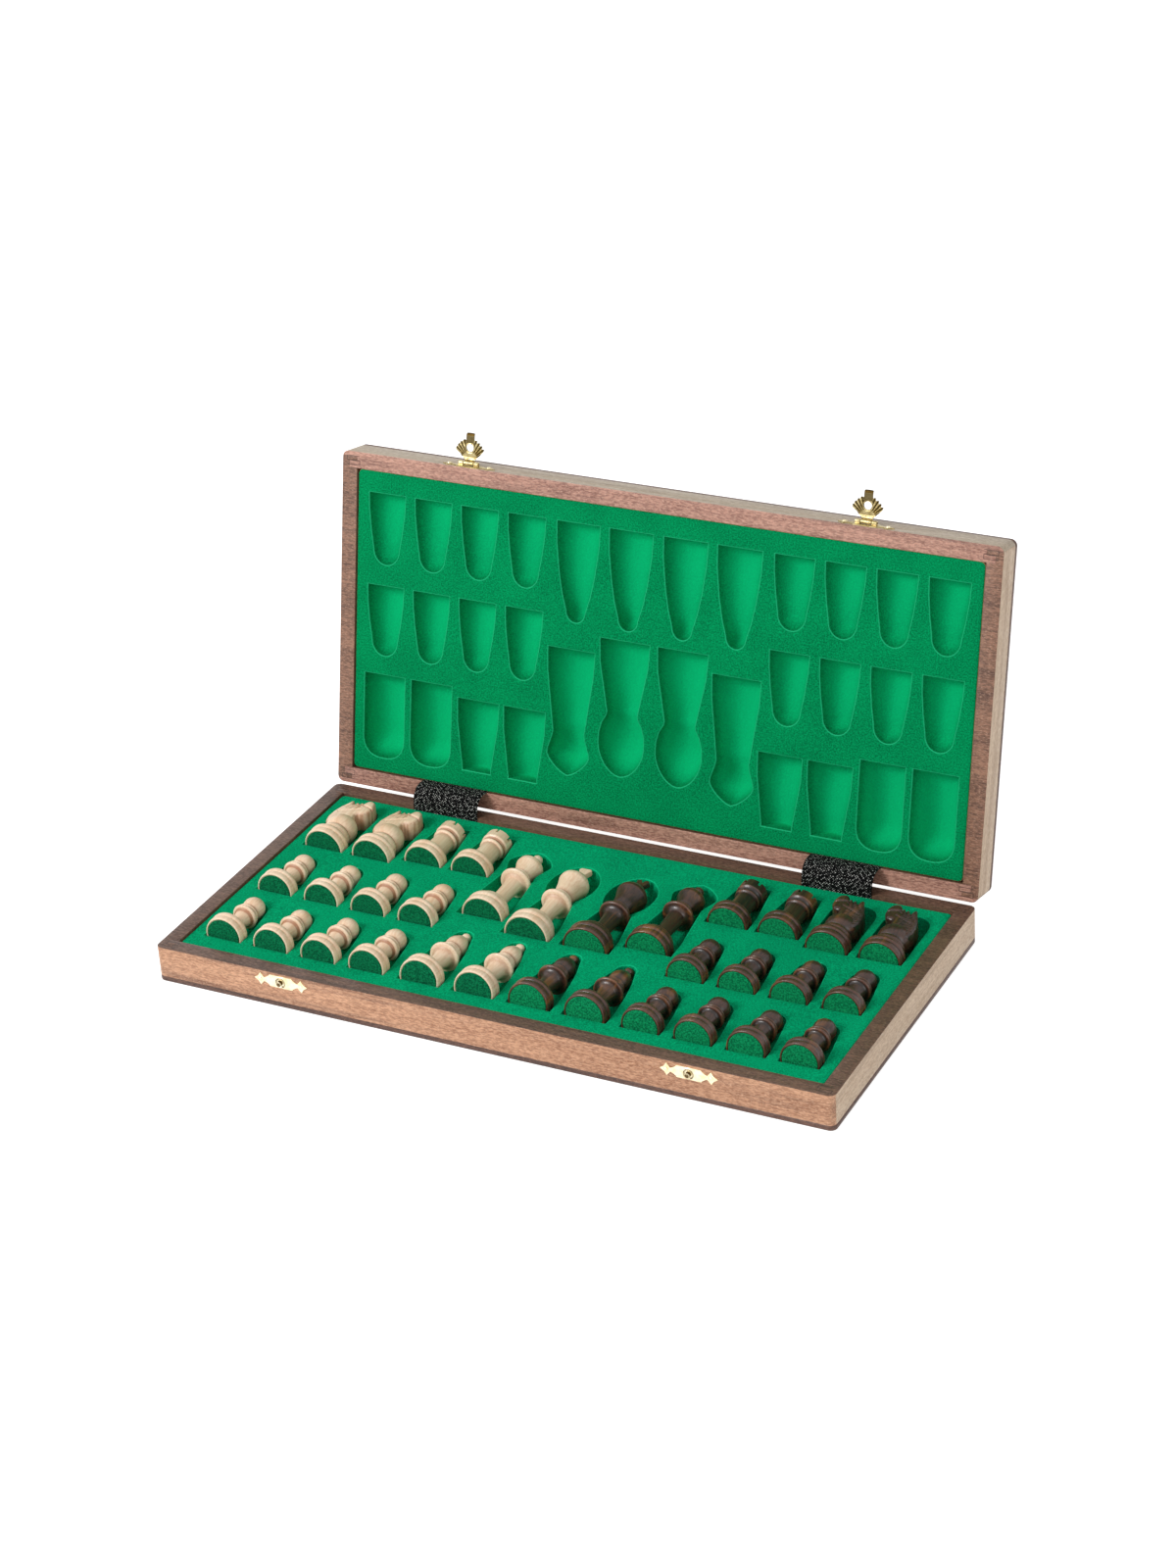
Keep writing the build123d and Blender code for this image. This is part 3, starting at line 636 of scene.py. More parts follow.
@dataclass
class Sheet:
    """Vertices and faces in millimetres, gathered before they become a mesh."""

    points: list[Vector] = field(default_factory=list)
    faces: list[tuple[int, ...]] = field(default_factory=list)
    own: list[Vector] = field(default_factory=list)
    hollow: list[float] = field(default_factory=list)
    kinds: list[int] = field(default_factory=list)

    def add(self, point: Sequence[float], own: Sequence[float] | None = None, hollow: float = 0.0) -> int:
        """Add a vertex.

        Args:
            point: Its place.
            own: Its own coordinates, or None for the same.
            hollow: How deep in a groove it lies, negative on an edge.

        Returns:
            Its index.
        """
        self.points.append(Vector(point))
        self.own.append(Vector(own if own is not None else point))
        self.hollow.append(hollow)
        return len(self.points) - 1

    def face(self, corners: Iterable[int], kind: int = 0) -> None:
        """Add a face, unless fewer than three of its corners differ.

        Args:
            corners: Vertex numbers, where one that comes again is left out.
            kind: Material number.
        """
        kept = tuple(dict.fromkeys(corners))
        if len(kept) > 2:
            self.faces.append(kept)
            self.kinds.append(kind)

    def grid(self, rows: Sequence[Sequence[int]], loop: bool = False, kind: int = 0) -> None:
        """Fill quads between rows of vertices.

        Args:
            rows: Vertex numbers, row by row.
            loop: Whether each row closes on itself.
            kind: Material number.
        """
        for low, high in zip(rows, rows[1:]):
            count = len(low)
            for here in range(count if loop else count - 1):
                after = (here + 1) % count
                self.face((low[here], low[after], high[after], high[here]), kind)

    def object(
        self,
        name: str,
        *materials: Material,
        place: Matrix = Matrix.Identity(4),
        merge: float = 0.002,
        smooth: float = SHARP,
    ) -> Object:
        """Turn the closed sheet into an object whose place is in its mesh.

        Args:
            name: Name of the object.
            *materials: Its finishes.
            place: Where the sheet goes, in millimetres.
            merge: Distance under which vertices merge, in millimetres.
            smooth: Edges sharper than this stay sharp, in degrees.

        Returns:
            The new object.
        """
        mesh = bpy.data.meshes.new(name)
        mesh.from_pydata([place @ point for point in self.points], [], self.faces)
        for key, values in (("own", self.own), ("hollow", self.hollow)):
            vector = key == "own"
            layer = mesh.attributes.new(key, "FLOAT_VECTOR" if vector else "FLOAT", "POINT")
            for index, value in enumerate(values):
                if vector:
                    layer.data[index].vector = value * MM
                else:
                    layer.data[index].value = value
        mesh.polygons.foreach_set("material_index", self.kinds)
        work = bmesh.new()
        work.from_mesh(mesh)
        bmesh.ops.remove_doubles(work, verts=work.verts, dist=merge)
        bmesh.ops.dissolve_degenerate(work, edges=work.edges, dist=merge / 4)
        bmesh.ops.scale(work, vec=(MM, MM, MM), verts=work.verts)
        bmesh.ops.recalc_face_normals(work, faces=work.faces)
        work.to_mesh(mesh)
        work.free()
        return finished(mesh, name, materials, smooth)


def linked(name: str, data: object) -> Object:
    """Make an object of its data and put it in the scene.

    Args:
        name: Name of the object.
        data: Its mesh, lamp or camera.

    Returns:
        The new object.
    """
    made = bpy.data.objects.new(name, data)
    bpy.context.scene.collection.objects.link(made)
    return made


def finished(mesh: Mesh, name: str, materials: Sequence[Material], smooth: float = SHARP) -> Object:
    """Link a mesh as an object, smooth it and dress it.

    Args:
        mesh: The mesh, in metres.
        name: Name of the object.
        materials: Its finishes.
        smooth: Edges sharper than this stay sharp, in degrees.

    Returns:
        The new object.
    """
    mesh.update()
    for material in materials:
        mesh.materials.append(material)
    mesh.shade_smooth()
    mesh.set_sharp_from_angle(angle=math.radians(smooth))
    return linked(name, mesh)


def settle(made: Object, body: str, slot: str, *nodes: str) -> None:
    """Attach a piece to the body that it rides on and hide the plain solids that it stands for.

    Args:
        made: The piece.
        body: The body it rides on.
        slot: Not used.
        *nodes: The plain solids that it stands for.
    """
    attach(made, body)
    if nodes:
        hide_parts(*nodes)
    LOG.info("%s on %s, %d faces", made.name, body, len(made.data.polygons))


def cut_up(loop: Sequence[Spot], step: float, whole: Callable[[float], int] = round) -> Loop:
    """Cut the sides of a closed outline into short parts.

    Args:
        loop: The outline.
        step: Wished length of a part.
        whole: Turns the number of parts into a whole one.

    Returns:
        The outline with its new points.
    """
    dense = []
    for a, b in zip(loop, [*loop[1:], loop[0]]):
        parts = max(1, whole(math.dist(a, b) / step))
        dense += [(a[0] + (b[0] - a[0]) * k / parts, a[1] + (b[1] - a[1]) * k / parts) for k in range(parts)]
    return dense


def steps(low: float, high: float, pitch: float) -> Iterator[float]:
    """Count up from low to high.

    Args:
        low: The first value.
        high: The end, which is left out.
        pitch: Distance between two values.

    Yields:
        The values.
    """
    while low < high:
        yield low
        low += pitch


class InsideTest:
    """Tells whether a point lies in the first loop and in none of the others."""

    def __init__(self, loops: list[Loop]) -> None:
        """Keep the loops with their boxes.

        Args:
            loops: The border, then the holes.
        """
        self.loops = []
        for loop in loops:
            xs, ys = [p[0] for p in loop], [p[1] for p in loop]
            self.loops.append((loop, min(xs), max(xs), min(ys), max(ys)))

    @staticmethod
    def within(loop: Loop, point: Spot) -> bool:
        """Whether a point lies inside a loop.

        Args:
            loop: The loop.
            point: The point.

        Returns:
            True inside.
        """
        x, y = point
        odd = False
        for (x0, y0), (x1, y1) in zip(loop, loop[1:] + loop[:1]):
            if (y0 > y) != (y1 > y) and x < x0 + (x1 - x0) * (y - y0) / (y1 - y0):
                odd = not odd
        return odd

    def deck(self, point: Spot, margin: float = 0.0) -> bool:
        """Whether a point lies between the loops, margin away from every loop.

        Args:
            point: The point.
            margin: Least distance from a loop.

        Returns:
            True between them.
        """
        x, y = point
        for index, (loop, x0, x1, y0, y1) in enumerate(self.loops):
            near = x0 - margin < x < x1 + margin and y0 - margin < y < y1 + margin
            if index and not near:
                continue
            if self.within(loop, point) != (index == 0):
                return False
            if margin and min(math.dist(point, corner) for corner in loop) < margin:
                return False
        return True


def fill_flat(
    border: Loop, holes: list[Loop], spots: Iterable[Spot], margin: float
) -> tuple[list[Vector], list[Sequence[int]], list[list[int]]]:
    """Fill a flat outline with triangles.

    Args:
        border: The outline.
        holes: Outlines of its holes.
        spots: Points wished inside it.
        margin: How far a spot stays from every outline.

    Returns:
        The points, the corners of each face, and the point numbers of each outline.
    """
    coords, loops = [], []
    for loop in [border, *holes]:
        loops.append(list(range(len(coords), len(coords) + len(loop))))
        coords += [Vector(point) for point in loop]
    edges = [(loop[i - 1], loop[i]) for loop in loops for i in range(len(loop))]
    inside = InsideTest([border, *holes])
    coords += [Vector(spot) for spot in spots if inside.deck(spot, margin)]
    verts, _, faces, _, _, _ = delaunay_2d_cdt(coords, edges, [], 0, 1e-5)
    kept = []
    for corners in faces:
        middle = sum((verts[c] for c in corners), Vector((0.0, 0.0))) / len(corners)
        if inside.deck((middle.x, middle.y)):
            kept.append(corners)
    return verts, kept, loops


# ------------ turned shapes
@dataclass(frozen=True)
class Stand:
    """Where a shape stands, with a seed that gives it a grain of its own."""

    sheet: Sheet
    place: Matrix
    seed: float = 0.0

    def add(self, x: float, y: float, z: float, hollow: float = 0.0) -> int:
        """Add a vertex of the shape.

        Args:
            x: Its place from the shape's middle.
            y: The same along Y.
            z: The same along Z.
            hollow: How deep in a groove it lies, negative on an edge.

        Returns:
            Its index.
        """
        point = Vector((x, y, z))
        shift = Vector((self.seed * 31.7, self.seed * 17.3, self.seed * 53.1))
        return self.sheet.add(self.place @ point, point + shift, hollow)


class Profile:
    """Half outline of a turned shape as (radius, height), in millimetres."""

    arc_step = 11.0
    cap_step = 10.0
    longest = 2.5

    def __init__(self, radius: float, height: float = 0.0) -> None:
        """Start on the axis and go out to the first radius."""
        self.points: Loop = [(0.0, height), (radius, height)]

    def line(self, radius: float, height: float) -> "Profile":
        """Straight to a new radius and height."""
        self.points.append((radius, height))
        return self

    def arc(self, radius: float, height: float, bulge: float) -> "Profile":
        """Arc to a new radius and height.

        Args:
            radius: Radius at its end.
            height: Height at its end.
            bulge: How far its middle stands out of the chord, negative for a cove.

        Returns:
            The profile itself.
        """
        r0, h0 = self.points[-1]
        dr, dh = radius - r0, height - h0
        span = math.hypot(dr, dh)
        if abs(bulge) < 0.02 or span < 0.2:
            return self.line(radius, height)
        out = (dh / span, -dr / span)
        size = (span**2 / 4 + bulge**2) / (2 * abs(bulge))
        toward = math.copysign(1.0, bulge)
        centre_r = (r0 + radius) / 2 + out[0] * (bulge - toward * size)
        centre_h = (h0 + height) / 2 + out[1] * (bulge - toward * size)
        start = math.atan2(h0 - centre_h, r0 - centre_r)
        end = math.atan2(height - centre_h, radius - centre_r)
        turn = end - start
        while toward * turn < 0:
            turn += toward * 2 * math.pi
        parts = max(3, int(abs(turn) / math.radians(self.arc_step)))
        for part in range(1, parts + 1):
            angle = start + turn * part / parts
            self.points.append((centre_r + size * math.cos(angle), centre_h + size * math.sin(angle)))
        return self

    def cap(self, height: float) -> "Profile":
        """End on the axis with a round cap.

        Args:
            height: Height at the axis.

        Returns:
            The profile itself.
        """
        radius, low = self.points[-1]
        rise = height - low
        size = (rise**2 + radius**2) / (2 * rise)
        start = math.atan2(radius, size - rise)
        parts = max(6, int(start / math.radians(self.cap_step)))
        for part in range(1, parts + 1):
            angle = start * (1 - part / parts)
            self.points.append((size * math.sin(angle), height - size * (1 - math.cos(angle))))
        return self

    def hollows(self) -> list[float]:
        """How deep each point lies in a groove, from the turn of the outline there.

        Returns:
            A value for each point, negative on an edge.
        """
        count = len(self.points)
        turns = [0.0] * count
        for index in range(1, count - 1):
            (r0, h0), (r1, h1), (r2, h2) = self.points[index - 1 : index + 2]
            first = math.atan2(h1 - h0, r1 - r0)
            second = math.atan2(h2 - h1, r2 - r1)
            turn = (first - second + math.pi) % (2 * math.pi) - math.pi
            reach = (math.hypot(r1 - r0, h1 - h0) + math.hypot(r2 - r1, h2 - h1)) / 2
            turns[index] = max(-1.0, min(1.0, turn * min(1.0, 0.5 / max(reach, 0.05)) * 1.4))
        smooth = list(turns)
        for index in range(2, count - 2):
            smooth[index] = (turns[index - 1] + 2 * turns[index] + turns[index + 1]) / 3
        return smooth

    def turn(self, stand: Stand, segments: int = 56, darkening: float = 0.0) -> None:
        """Turn the outline into a closed skin.

        Args:
            stand: Where the shape stands.
            segments: Steps round the axis.
            darkening: Added to how hollow each point counts.
        """
        fine = self.refined([hollow + darkening for hollow in self.hollows()])
        if fine[-1][0][0] > 1e-6:
            fine.append(((0.0, fine[-1][0][1]), 0.0))
        angles = [2 * math.pi * step / segments for step in range(segments)]
        rows = []
        for (radius, height), hollow in fine:
            if radius < 1e-6:
                rows.append([stand.add(0.0, 0.0, height, hollow)] * segments)
            else:
                around = [(radius * math.cos(angle), radius * math.sin(angle)) for angle in angles]
                rows.append([stand.add(x, y, height, hollow) for x, y in around])
        stand.sheet.grid(rows, loop=True)

    def refined(self, hollows: list[float]) -> list[tuple[Spot, float]]:
        """The outline with long straight runs cut up.

        Args:
            hollows: How hollow each point is.

        Returns:
            Each point with its hollow.
        """
        made = [(self.points[0], hollows[0])]
        for index in range(1, len(self.points)):
            (r0, h0), (r1, h1) = self.points[index - 1], self.points[index]
            parts = max(1, int(math.hypot(r1 - r0, h1 - h0) / self.longest))
            for part in range(1, parts):
                share = part / parts
                made.append(((r0 + (r1 - r0) * share, h0 + (h1 - h0) * share), 0.0))
            made.append((self.points[index], hollows[index]))
        return made


# ------------ a half of the box
@dataclass
class HalfSizes:
    """Sizes of a half, in millimetres, in the half's own frame."""

    length: float = 410.0
    depth: float = 203.0
    height: float = 21.5
    wall: float = 9.7
    panel: float = 3.2
    tray_side: float = 0.35
    tray_front: float = 0.3
    tray_rear: float = 0.5
    tray_corner: float = 3.0


class Side(Enum):
    """The four slats of a half: node ending and direction of the outer face."""

    FRONT = ("front_slat", (0.0, -1.0, 0.0))
    REAR = ("rear_slat", (0.0, 1.0, 0.0))
    LEFT = ("left_slat", (-1.0, 0.0, 0.0))
    RIGHT = ("right_slat", (1.0, 0.0, 0.0))


@dataclass
class Casing:
    """Slats, panel and playing squares of one half, made from the solids of the frame."""

    frame: dict
    body: str
    place: Matrix
    rim: StainedBoard
    end_rim: StainedBoard
    faces: dict[Side, StainedBoard]
    inner: StainedBoard
    panel: StainedBoard
    squares: dict[str, StainedBoard]
    slat_ease: float = 0.35
    panel_ease: float = 0.5
    least_turn: float = 0.6
    rim_up: float = 0.6
    face_out: float = 0.3
    sharp: float = 30.0
    lid_shift: Point = (0.0, 0.0, 37.0)

    def build(self) -> None:
        """Make the slats and dress the panel and squares."""
        for side in Side:
            self.slat(side)
        self.board()
        for tone, finish in self.squares.items():
            self.dress_node(f"{self.body}_{tone}_squares", finish)

    def bare(self, node: str) -> bmesh.types.BMesh:
        """A node's mesh in millimetres in the half's own frame, with flat faces whole.

        Args:
            node: Name of the node.

        Returns:
            The mesh, to be freed by the caller.
        """
        work = bmesh.new()
        work.from_mesh(self.frame["nodes"][node].data)
        bmesh.ops.scale(work, vec=(1 / MM, 1 / MM, 1 / MM), verts=work.verts)
        bmesh.ops.transform(work, matrix=self.place.inverted(), verts=work.verts)
        bmesh.ops.remove_doubles(work, verts=work.verts, dist=0.002)
        bmesh.ops.dissolve_limit(work, angle_limit=math.radians(0.6), verts=work.verts, edges=work.edges)
        bmesh.ops.recalc_face_normals(work, faces=work.faces)
        return work

    def placed(self, work: bmesh.types.BMesh, name: str, materials: Sequence[Material]) -> Object:
        """Turn a mesh of the half's frame into an object at rest.

        Args:
            work: The mesh in millimetres; it is freed.
            name: Name of the object.
            materials: Its finishes.

        Returns:
            The new object.
        """
        bmesh.ops.triangulate(work, faces=[face for face in work.faces if len(face.verts) > 4])
        own = work.verts.layers.float_vector.new("own")
        shift = Vector(self.lid_shift if self.body == "lid" else (0.0, 0.0, 0.0))
        for vertex in work.verts:
            vertex[own] = (vertex.co + shift) * MM
        bmesh.ops.transform(work, matrix=Matrix.Scale(MM, 4) @ self.place, verts=work.verts)
        mesh = bpy.data.meshes.new(name)
        work.to_mesh(mesh)
        work.free()
        return finished(mesh, name, materials, self.sharp)

    def ease(self, work: bmesh.types.BMesh, by: float, chosen: Callable[[bmesh.types.BMEdge], bool]) -> None:
        """Round the sharp edges that are chosen.

        Args:
            work: The mesh in millimetres.
            by: Width of the rounding.
            chosen: Whether an edge is rounded.
        """
        sharp = [e for e in work.edges if len(e.link_faces) == 2 and e.calc_face_angle() > self.least_turn]
        bmesh.ops.bevel(
            work, geom=[e for e in sharp if chosen(e)], offset=by, segments=2, profile=0.6,
            affect="EDGES", clamp_overlap=True,
        )

    def slat(self, side: Side) -> None:
        """Make one slat: eased edges, and its own finish on rim, outer and inner face.

        Args:
            side: Which slat.
        """
        ending, out = side.value
        node = f"{self.body}_{ending}"
        work = self.bare(node)
        self.ease(work, self.slat_ease, lambda edge: True)
        # Faces are sorted by the way they turn; the tones of the outer faces partly hold painted light.
        for face in work.faces:
            if face.normal.z > self.rim_up:
                face.material_index = 0
            elif face.normal.dot(Vector(out)) > self.face_out:
                face.material_index = 1
            else:
                face.material_index = 2
        rim = self.end_rim if side in (Side.LEFT, Side.RIGHT) else self.rim
        materials = [rim.material(), self.faces[side].material(), self.inner.material()]
        made = self.placed(work, f"{node}_visual", materials)
        settle(made, self.body, f"{self.body}_rim_wood", node)

    def board(self) -> None:
        """Make the panel with eased outer edges."""
        work = self.bare(f"{self.body}_panel")
        self.ease(work, self.panel_ease, lambda edge: all(abs(v.co.z) < 0.01 for v in edge.verts))
        made = self.placed(work, f"{self.body}_panel_visual", [self.panel.material()])
        settle(made, self.body, "panel_wood", f"{self.body}_panel")

    def dress_node(self, node: str, finish: StainedBoard) -> None:
        """Give a plain solid its own finish.

        Args:
            node: Name of the node.
            finish: Its finish.
        """
        made = self.frame["nodes"][node]
        leant = math.radians(Frame.open_angle - 180.0)
        turn = (leant, 0.0, math.pi) if self.body == "lid" else (0.0, 0.0, 0.0)
        made.data.materials.clear()
        made.data.materials.append(finish.material(turn))


# ------------ trays
@dataclass(frozen=True)
class Cup:
    """A pocket: half widths along it, how deep it is and how it ends.

    The flat end is at 0. The far end reaches on from the last station as a rounded
    tip whose outline has the given power, 2 for an ellipse, or is flat with reach 0.
    """

    widths: tuple[Spot, ...]
    depths: tuple[Spot, ...]
    reach: float
    power: float = 2.0


def between(stations: Sequence[Spot], along: float) -> float:
    """Value at a distance, straight between stations.

    Args:
        stations: Pairs of distance and value, in order.
        along: The distance.

    Returns:
        The value there.
    """
    if along <= stations[0][0]:
        return stations[0][1]
    for (a0, v0), (a1, v1) in zip(stations, stations[1:]):
        if along <= a1:
            return v0 + (v1 - v0) * (along - a0) / (a1 - a0)
    return stations[-1][1]


def lie_depths(foot: float, ring: float, head: float, at: float, sink: float, tilt: float) -> tuple:
    """Depths of a pocket in which a tilted man just lies.

    Args:
        foot: Radius of his foot.
        ring: Height of his foot ring.
        head: Radius of his head.
        at: Height of his head.
        sink: Depth of his axis under the rim.
        tilt: How far his head hangs, in degrees.

    Returns:
        Stations of depth along the pocket.
    """
    angle = math.radians(tilt)

    def deep(reach: float, radius: float) -> float:
        """Depth under the deck at a height on the man."""
        return radius * math.cos(angle) + reach * math.sin(angle) + sink - 1.5

    return ((ring, deep(ring, foot)), (at, deep(at, head)))


PAWN_SIDES = ((0.0, 11.9), (10.0, 11.5), (22.0, 10.1), (33.3, 8.2))
CUPS = {
    "pawn": Cup(PAWN_SIDES, lie_depths(11.7, 8.2, 6.6, 32.5, 0.9, 3.5), 9.0),
    "middle_pawn": Cup(PAWN_SIDES, lie_depths(11.7, 8.2, 6.6, 32.5, 2.2, 3.5), 9.0),
    "bishop": Cup(
        ((0.0, 13.5), (13.0, 13.1), (30.0, 11.0), (42.0, 8.7), (51.6, 5.9)),
        lie_depths(12.5, 8.6, 6.3, 44.0, 1.0, 4.8), 6.6),
    "queen": Cup(
        ((0.0, 14.9), (14.0, 14.4), (50.0, 9.7), (53.0, 10.3), (61.5, 13.1), (64.0, 13.2)),
        ((5.0, 15.6), (40.0, 13.6), (48.0, 12.4), (54.0, 13.4), (60.0, 14.2)), 11.5, 1.35),
    "king": Cup(
        ((0.0, 15.6), (14.0, 14.9), (43.0, 9.3), (45.5, 9.9), (50.0, 12.5), (56.0, 14.1), (62.0, 14.3)),
        ((0.0, 16.2), (41.0, 13.3), (45.5, 12.2), (52.0, 13.5), (60.0, 15.2)), 18.7, 1.8),
    "rook": Cup(
        ((0.0, 13.4), (14.0, 13.0), (43.3, 8.9)), lie_depths(12.4, 8.6, 9.0, 33.0, 3.6, -0.5), 0.0),
    "knight": Cup(((0.0, 13.4), (37.8, 13.4)), ((8.6, 14.6), (34.0, 15.4)), 13.4, 2.5),
}
PAWN_COLUMNS = tuple(83.52 + 30.59 * count for count in range(4))
CUP_PLACES = (
    ("pawn", PAWN_COLUMNS, 23.1),
    ("bishop", (17.02, 50.39), 23.1),
    ("middle_pawn", PAWN_COLUMNS, 78.5),
    ("queen", (52.19,), 97.9),
    ("king", (18.29,), 87.8),
    ("rook", (81.18, 111.81), 138.6),
    ("knight", (143.21, 174.78), 132.8),
)


@dataclass
class Tray:
    """Formed tray of a half, flocked green: a deck with 32 cups."""

    body: str
    place: Matrix
    finish: Flock
    edge_finish: TurnedWood
    sink_edge: float
    sink_middle: float
    sheet: Sheet = field(default_factory=Sheet)
    sizes: HalfSizes = field(default_factory=HalfSizes)
    lip: float = 0.8
    heel: float = 1.4
    pitch: float = 6.5
    bevel: float = 1.0
    deepest: float = 15.0
    sharp: float = 62.0
    lid_shift: float = 90.0
    station: float = 3.0
    keep_off: float = 1.6
    floor_steps: int = 10
    tip_steps: int = 16
    # Painted highlight on the cup lips, carried as a negative mark for the flock.
    lip_shine: tuple[float, ...] = (0.0, -0.3, -0.9, -0.7, -0.1)
    round_over: tuple[Spot, ...] = ((1.0, 0.0), (0.62, -0.08), (0.29, -0.29), (0.08, -0.62), (0.0, -1.0))

    def build(self) -> None:
        """Make the tray."""
        sheet, holes = self.sheet, []
        for kind, columns, row in CUP_PLACES:
            for column in columns:
                for side in (-1, 1):
                    at = Vector((side * column, -self.sizes.depth / 2 + row, 0.0))
                    holes.append(self.cup(CUPS[kind], at))
        self.deck(holes)
        deck = self.sizes.height - self.sink_edge
        for point in sheet.points:
            full = min(1.0, max(0.0, 1.0 + point.z / 6.0))
            point.z += deck - self.sag(point.x, point.y) * full
        shift = Vector((0.0, 0.0, self.lid_shift if self.body == "lid" else 0.0))
        sheet.own = [point + shift for point in sheet.points]
        finishes = self.finish.material(), self.edge_finish.material()
        made = sheet.object(f"{self.body}_tray", *finishes, place=self.place, merge=0.01, smooth=self.sharp)
        settle(made, self.body, "green_flock", f"{self.body}_insert")

    def sag(self, x: float, y: float) -> float:
        """How far the deck hangs under its edge at a place.

        Args:
            x: Place across the half.
            y: Place along it.

        Returns:
            The sag.
        """
        across = max(0.0, 1.0 - (2 * x / self.sizes.length) ** 4)
        along = max(0.0, 1.0 - (2 * y / self.sizes.depth) ** 4)
        return (self.sink_middle - self.sink_edge) * across * along

    def half_section(self, half: float, deep: float) -> Loop:
        """Section of a cup from the wall top to the middle of the floor.

        Args:
            half: Half width.
            deep: Depth under the deck.

        Returns:
            Points as (distance from the middle, height).
        """
        shoulder = min(half - deep, -self.lip - 0.4)
        points = [(half, -self.lip), (half, (shoulder - self.lip) / 2), (half, shoulder)]
        rise = shoulder + deep
        radius = (half**2 + rise**2) / (2 * rise)
        swing = math.atan2(half, radius - rise)
        for step in range(1, self.floor_steps + 1):
            angle = swing * (1 - step / self.floor_steps)
            points.append((radius * math.sin(angle), -deep + radius * (1 - math.cos(angle))))
        return points

    def cup(self, cup: Cup, at: Vector) -> Loop:
        """Add one cup.

        Args:
            cup: Its shape.
            at: Middle of its flat end at deck height.

        Returns:
            Outline of the hole that it needs in the deck.
        """
        end = cup.widths[-1][0]
        marks = sorted({a for a, _ in cup.widths} | {self.heel} | {a for a, _ in cup.depths if a < end})
        stations = []
        for low, high in zip(marks, marks[1:]):
            parts = max(1, round((high - low) / self.station))
            stations += [low + (high - low) * part / parts for part in range(parts)]
        stations = [a for a in stations if a >= self.heel] + [end]
        if cup.reach == 0.0:
            stations = [a for a in stations if a <= end - self.heel] + [end - self.heel]

        def section(along: float) -> Loop:
            """Whole section at a distance, left wall to right wall."""
            side = self.half_section(between(cup.widths, along), between(cup.depths, along))
            return [(-x, z) for x, z in side] + [(x, z) for x, z in reversed(side[:-1])]

        def put(x: float, along: float, z: float) -> int:
            """Add a vertex of this cup, marked by its depth."""
            # Depth mark for the painted light on the pocket floors.
            deep = min(0.9, max(0.0, -z / self.deepest))
            return self.sheet.add((at.x + x, at.y + along, z), None, deep)

        self.sheet.grid([[put(x, along, z) for x, z in section(along)] for along in stations])
        rim_right = [(between(cup.widths, a), a) for a in stations]
        heel = self.wall_grid(put, section(stations[0]), stations[0], 0.0)
        outline = [(x, 0.0) for x in heel] + rim_right
        if cup.reach > 0.0:
            outline += self.tip(put, cup, end)
        else:
            far = self.wall_grid(put, section(stations[-1]), stations[-1], end)
            outline += [(x, end) for x in reversed(far)]
        outline += [(-x, a) for x, a in reversed(rim_right)]
        return self.lip_ring(outline, at)

    def wall_grid(self, put: Callable, section: Loop, near: float, wall: float) -> list[float]:
        """Add a flat end wall that rounds into the floor.

        Args:
            put: Adds a vertex of the cup.
            section: Section of the cup at the near station.
            near: Distance of that station.
            wall: Distance of the wall.

        Returns:
            Places across the cup of the vertices at the wall's top.
        """
        round_by = abs(near - wall)
        toward = 1.0 if near > wall else -1.0
        rows = [[put(x, near, z) for x, z in section]]
        for step in (1, 2, 3):
            angle = math.radians(30 * step)
            along = wall + toward * round_by * (1 - math.sin(angle))
            lift = round_by * (1 - math.cos(angle))
            rows.append([put(x, along, min(z + lift, -self.lip)) for x, z in section])
        rows.append([put(x, wall, -self.lip) for x, z in section])
        self.sheet.grid(rows)
        return [x for x, z in section]

    def tip(self, put: Callable, cup: Cup, end: float) -> Loop:
        """Add a rounded far end.

        Args:
            put: Adds a vertex of the cup.
            cup: Its shape.
            end: Distance of the last station.

        Returns:
            The outline of the end, from right to left.
        """
        half, deep = cup.widths[-1][1], between(cup.depths, end)
        side = self.half_section(half, deep)
        rows, outline = [], []
        for step in range(self.tip_steps + 1):
            angle = math.pi * step / self.tip_steps
            c, s = math.cos(angle), math.sin(angle)
            size = (abs(c) ** cup.power + abs(s) ** cup.power) ** (-1 / cup.power)
            x, along = half * c * size, cup.reach * s * size
            rows.append([put(x * r / half, end + along * r / half, z) for r, z in side])
            if 0 < step < self.tip_steps:
                outline.append((x, end + along))
        self.sheet.grid(rows)
        return outline

    def lip_ring(self, outline: Loop, at: Vector) -> Loop:
        """Round the cup's edge over into the deck.

        Args:
            outline: Outline of the cup, all round.
            at: Middle of its flat end.

        Returns:
            The outline of the hole in the deck, in the half's frame.
        """
        clean = []
        for point in outline:
            if not clean or math.dist(clean[-1], point) > 0.02:
                clean.append(point)
        if math.dist(clean[0], clean[-1]) < 0.02:
            clean.pop()
        count = len(clean)
        normals = []
        for index, (x, y) in enumerate(clean):
            (x0, y0), (x1, y1) = clean[index - 1], clean[(index + 1) % count]
            before = Vector((y - y0, x0 - x)).normalized()
            after = Vector((y1 - y, x - x1)).normalized()
            mean = (before + after).normalized()
            normals.append(mean / max(0.5, mean.dot(after)))
        rings = []
        for step, shine in enumerate(self.lip_shine):
            angle = math.radians(90.0 * step / (len(self.lip_shine) - 1))
            out, z = self.lip * (1 - math.cos(angle)), self.lip * (math.sin(angle) - 1)
            rings.append([
                self.sheet.add((at.x + x + n.x * out, at.y + y + n.y * out, z), None, shine)
                for (x, y), n in zip(clean, normals)
            ])
        self.sheet.grid(rings, loop=True)
        return [(self.sheet.points[i].x, self.sheet.points[i].y) for i in rings[-1]]

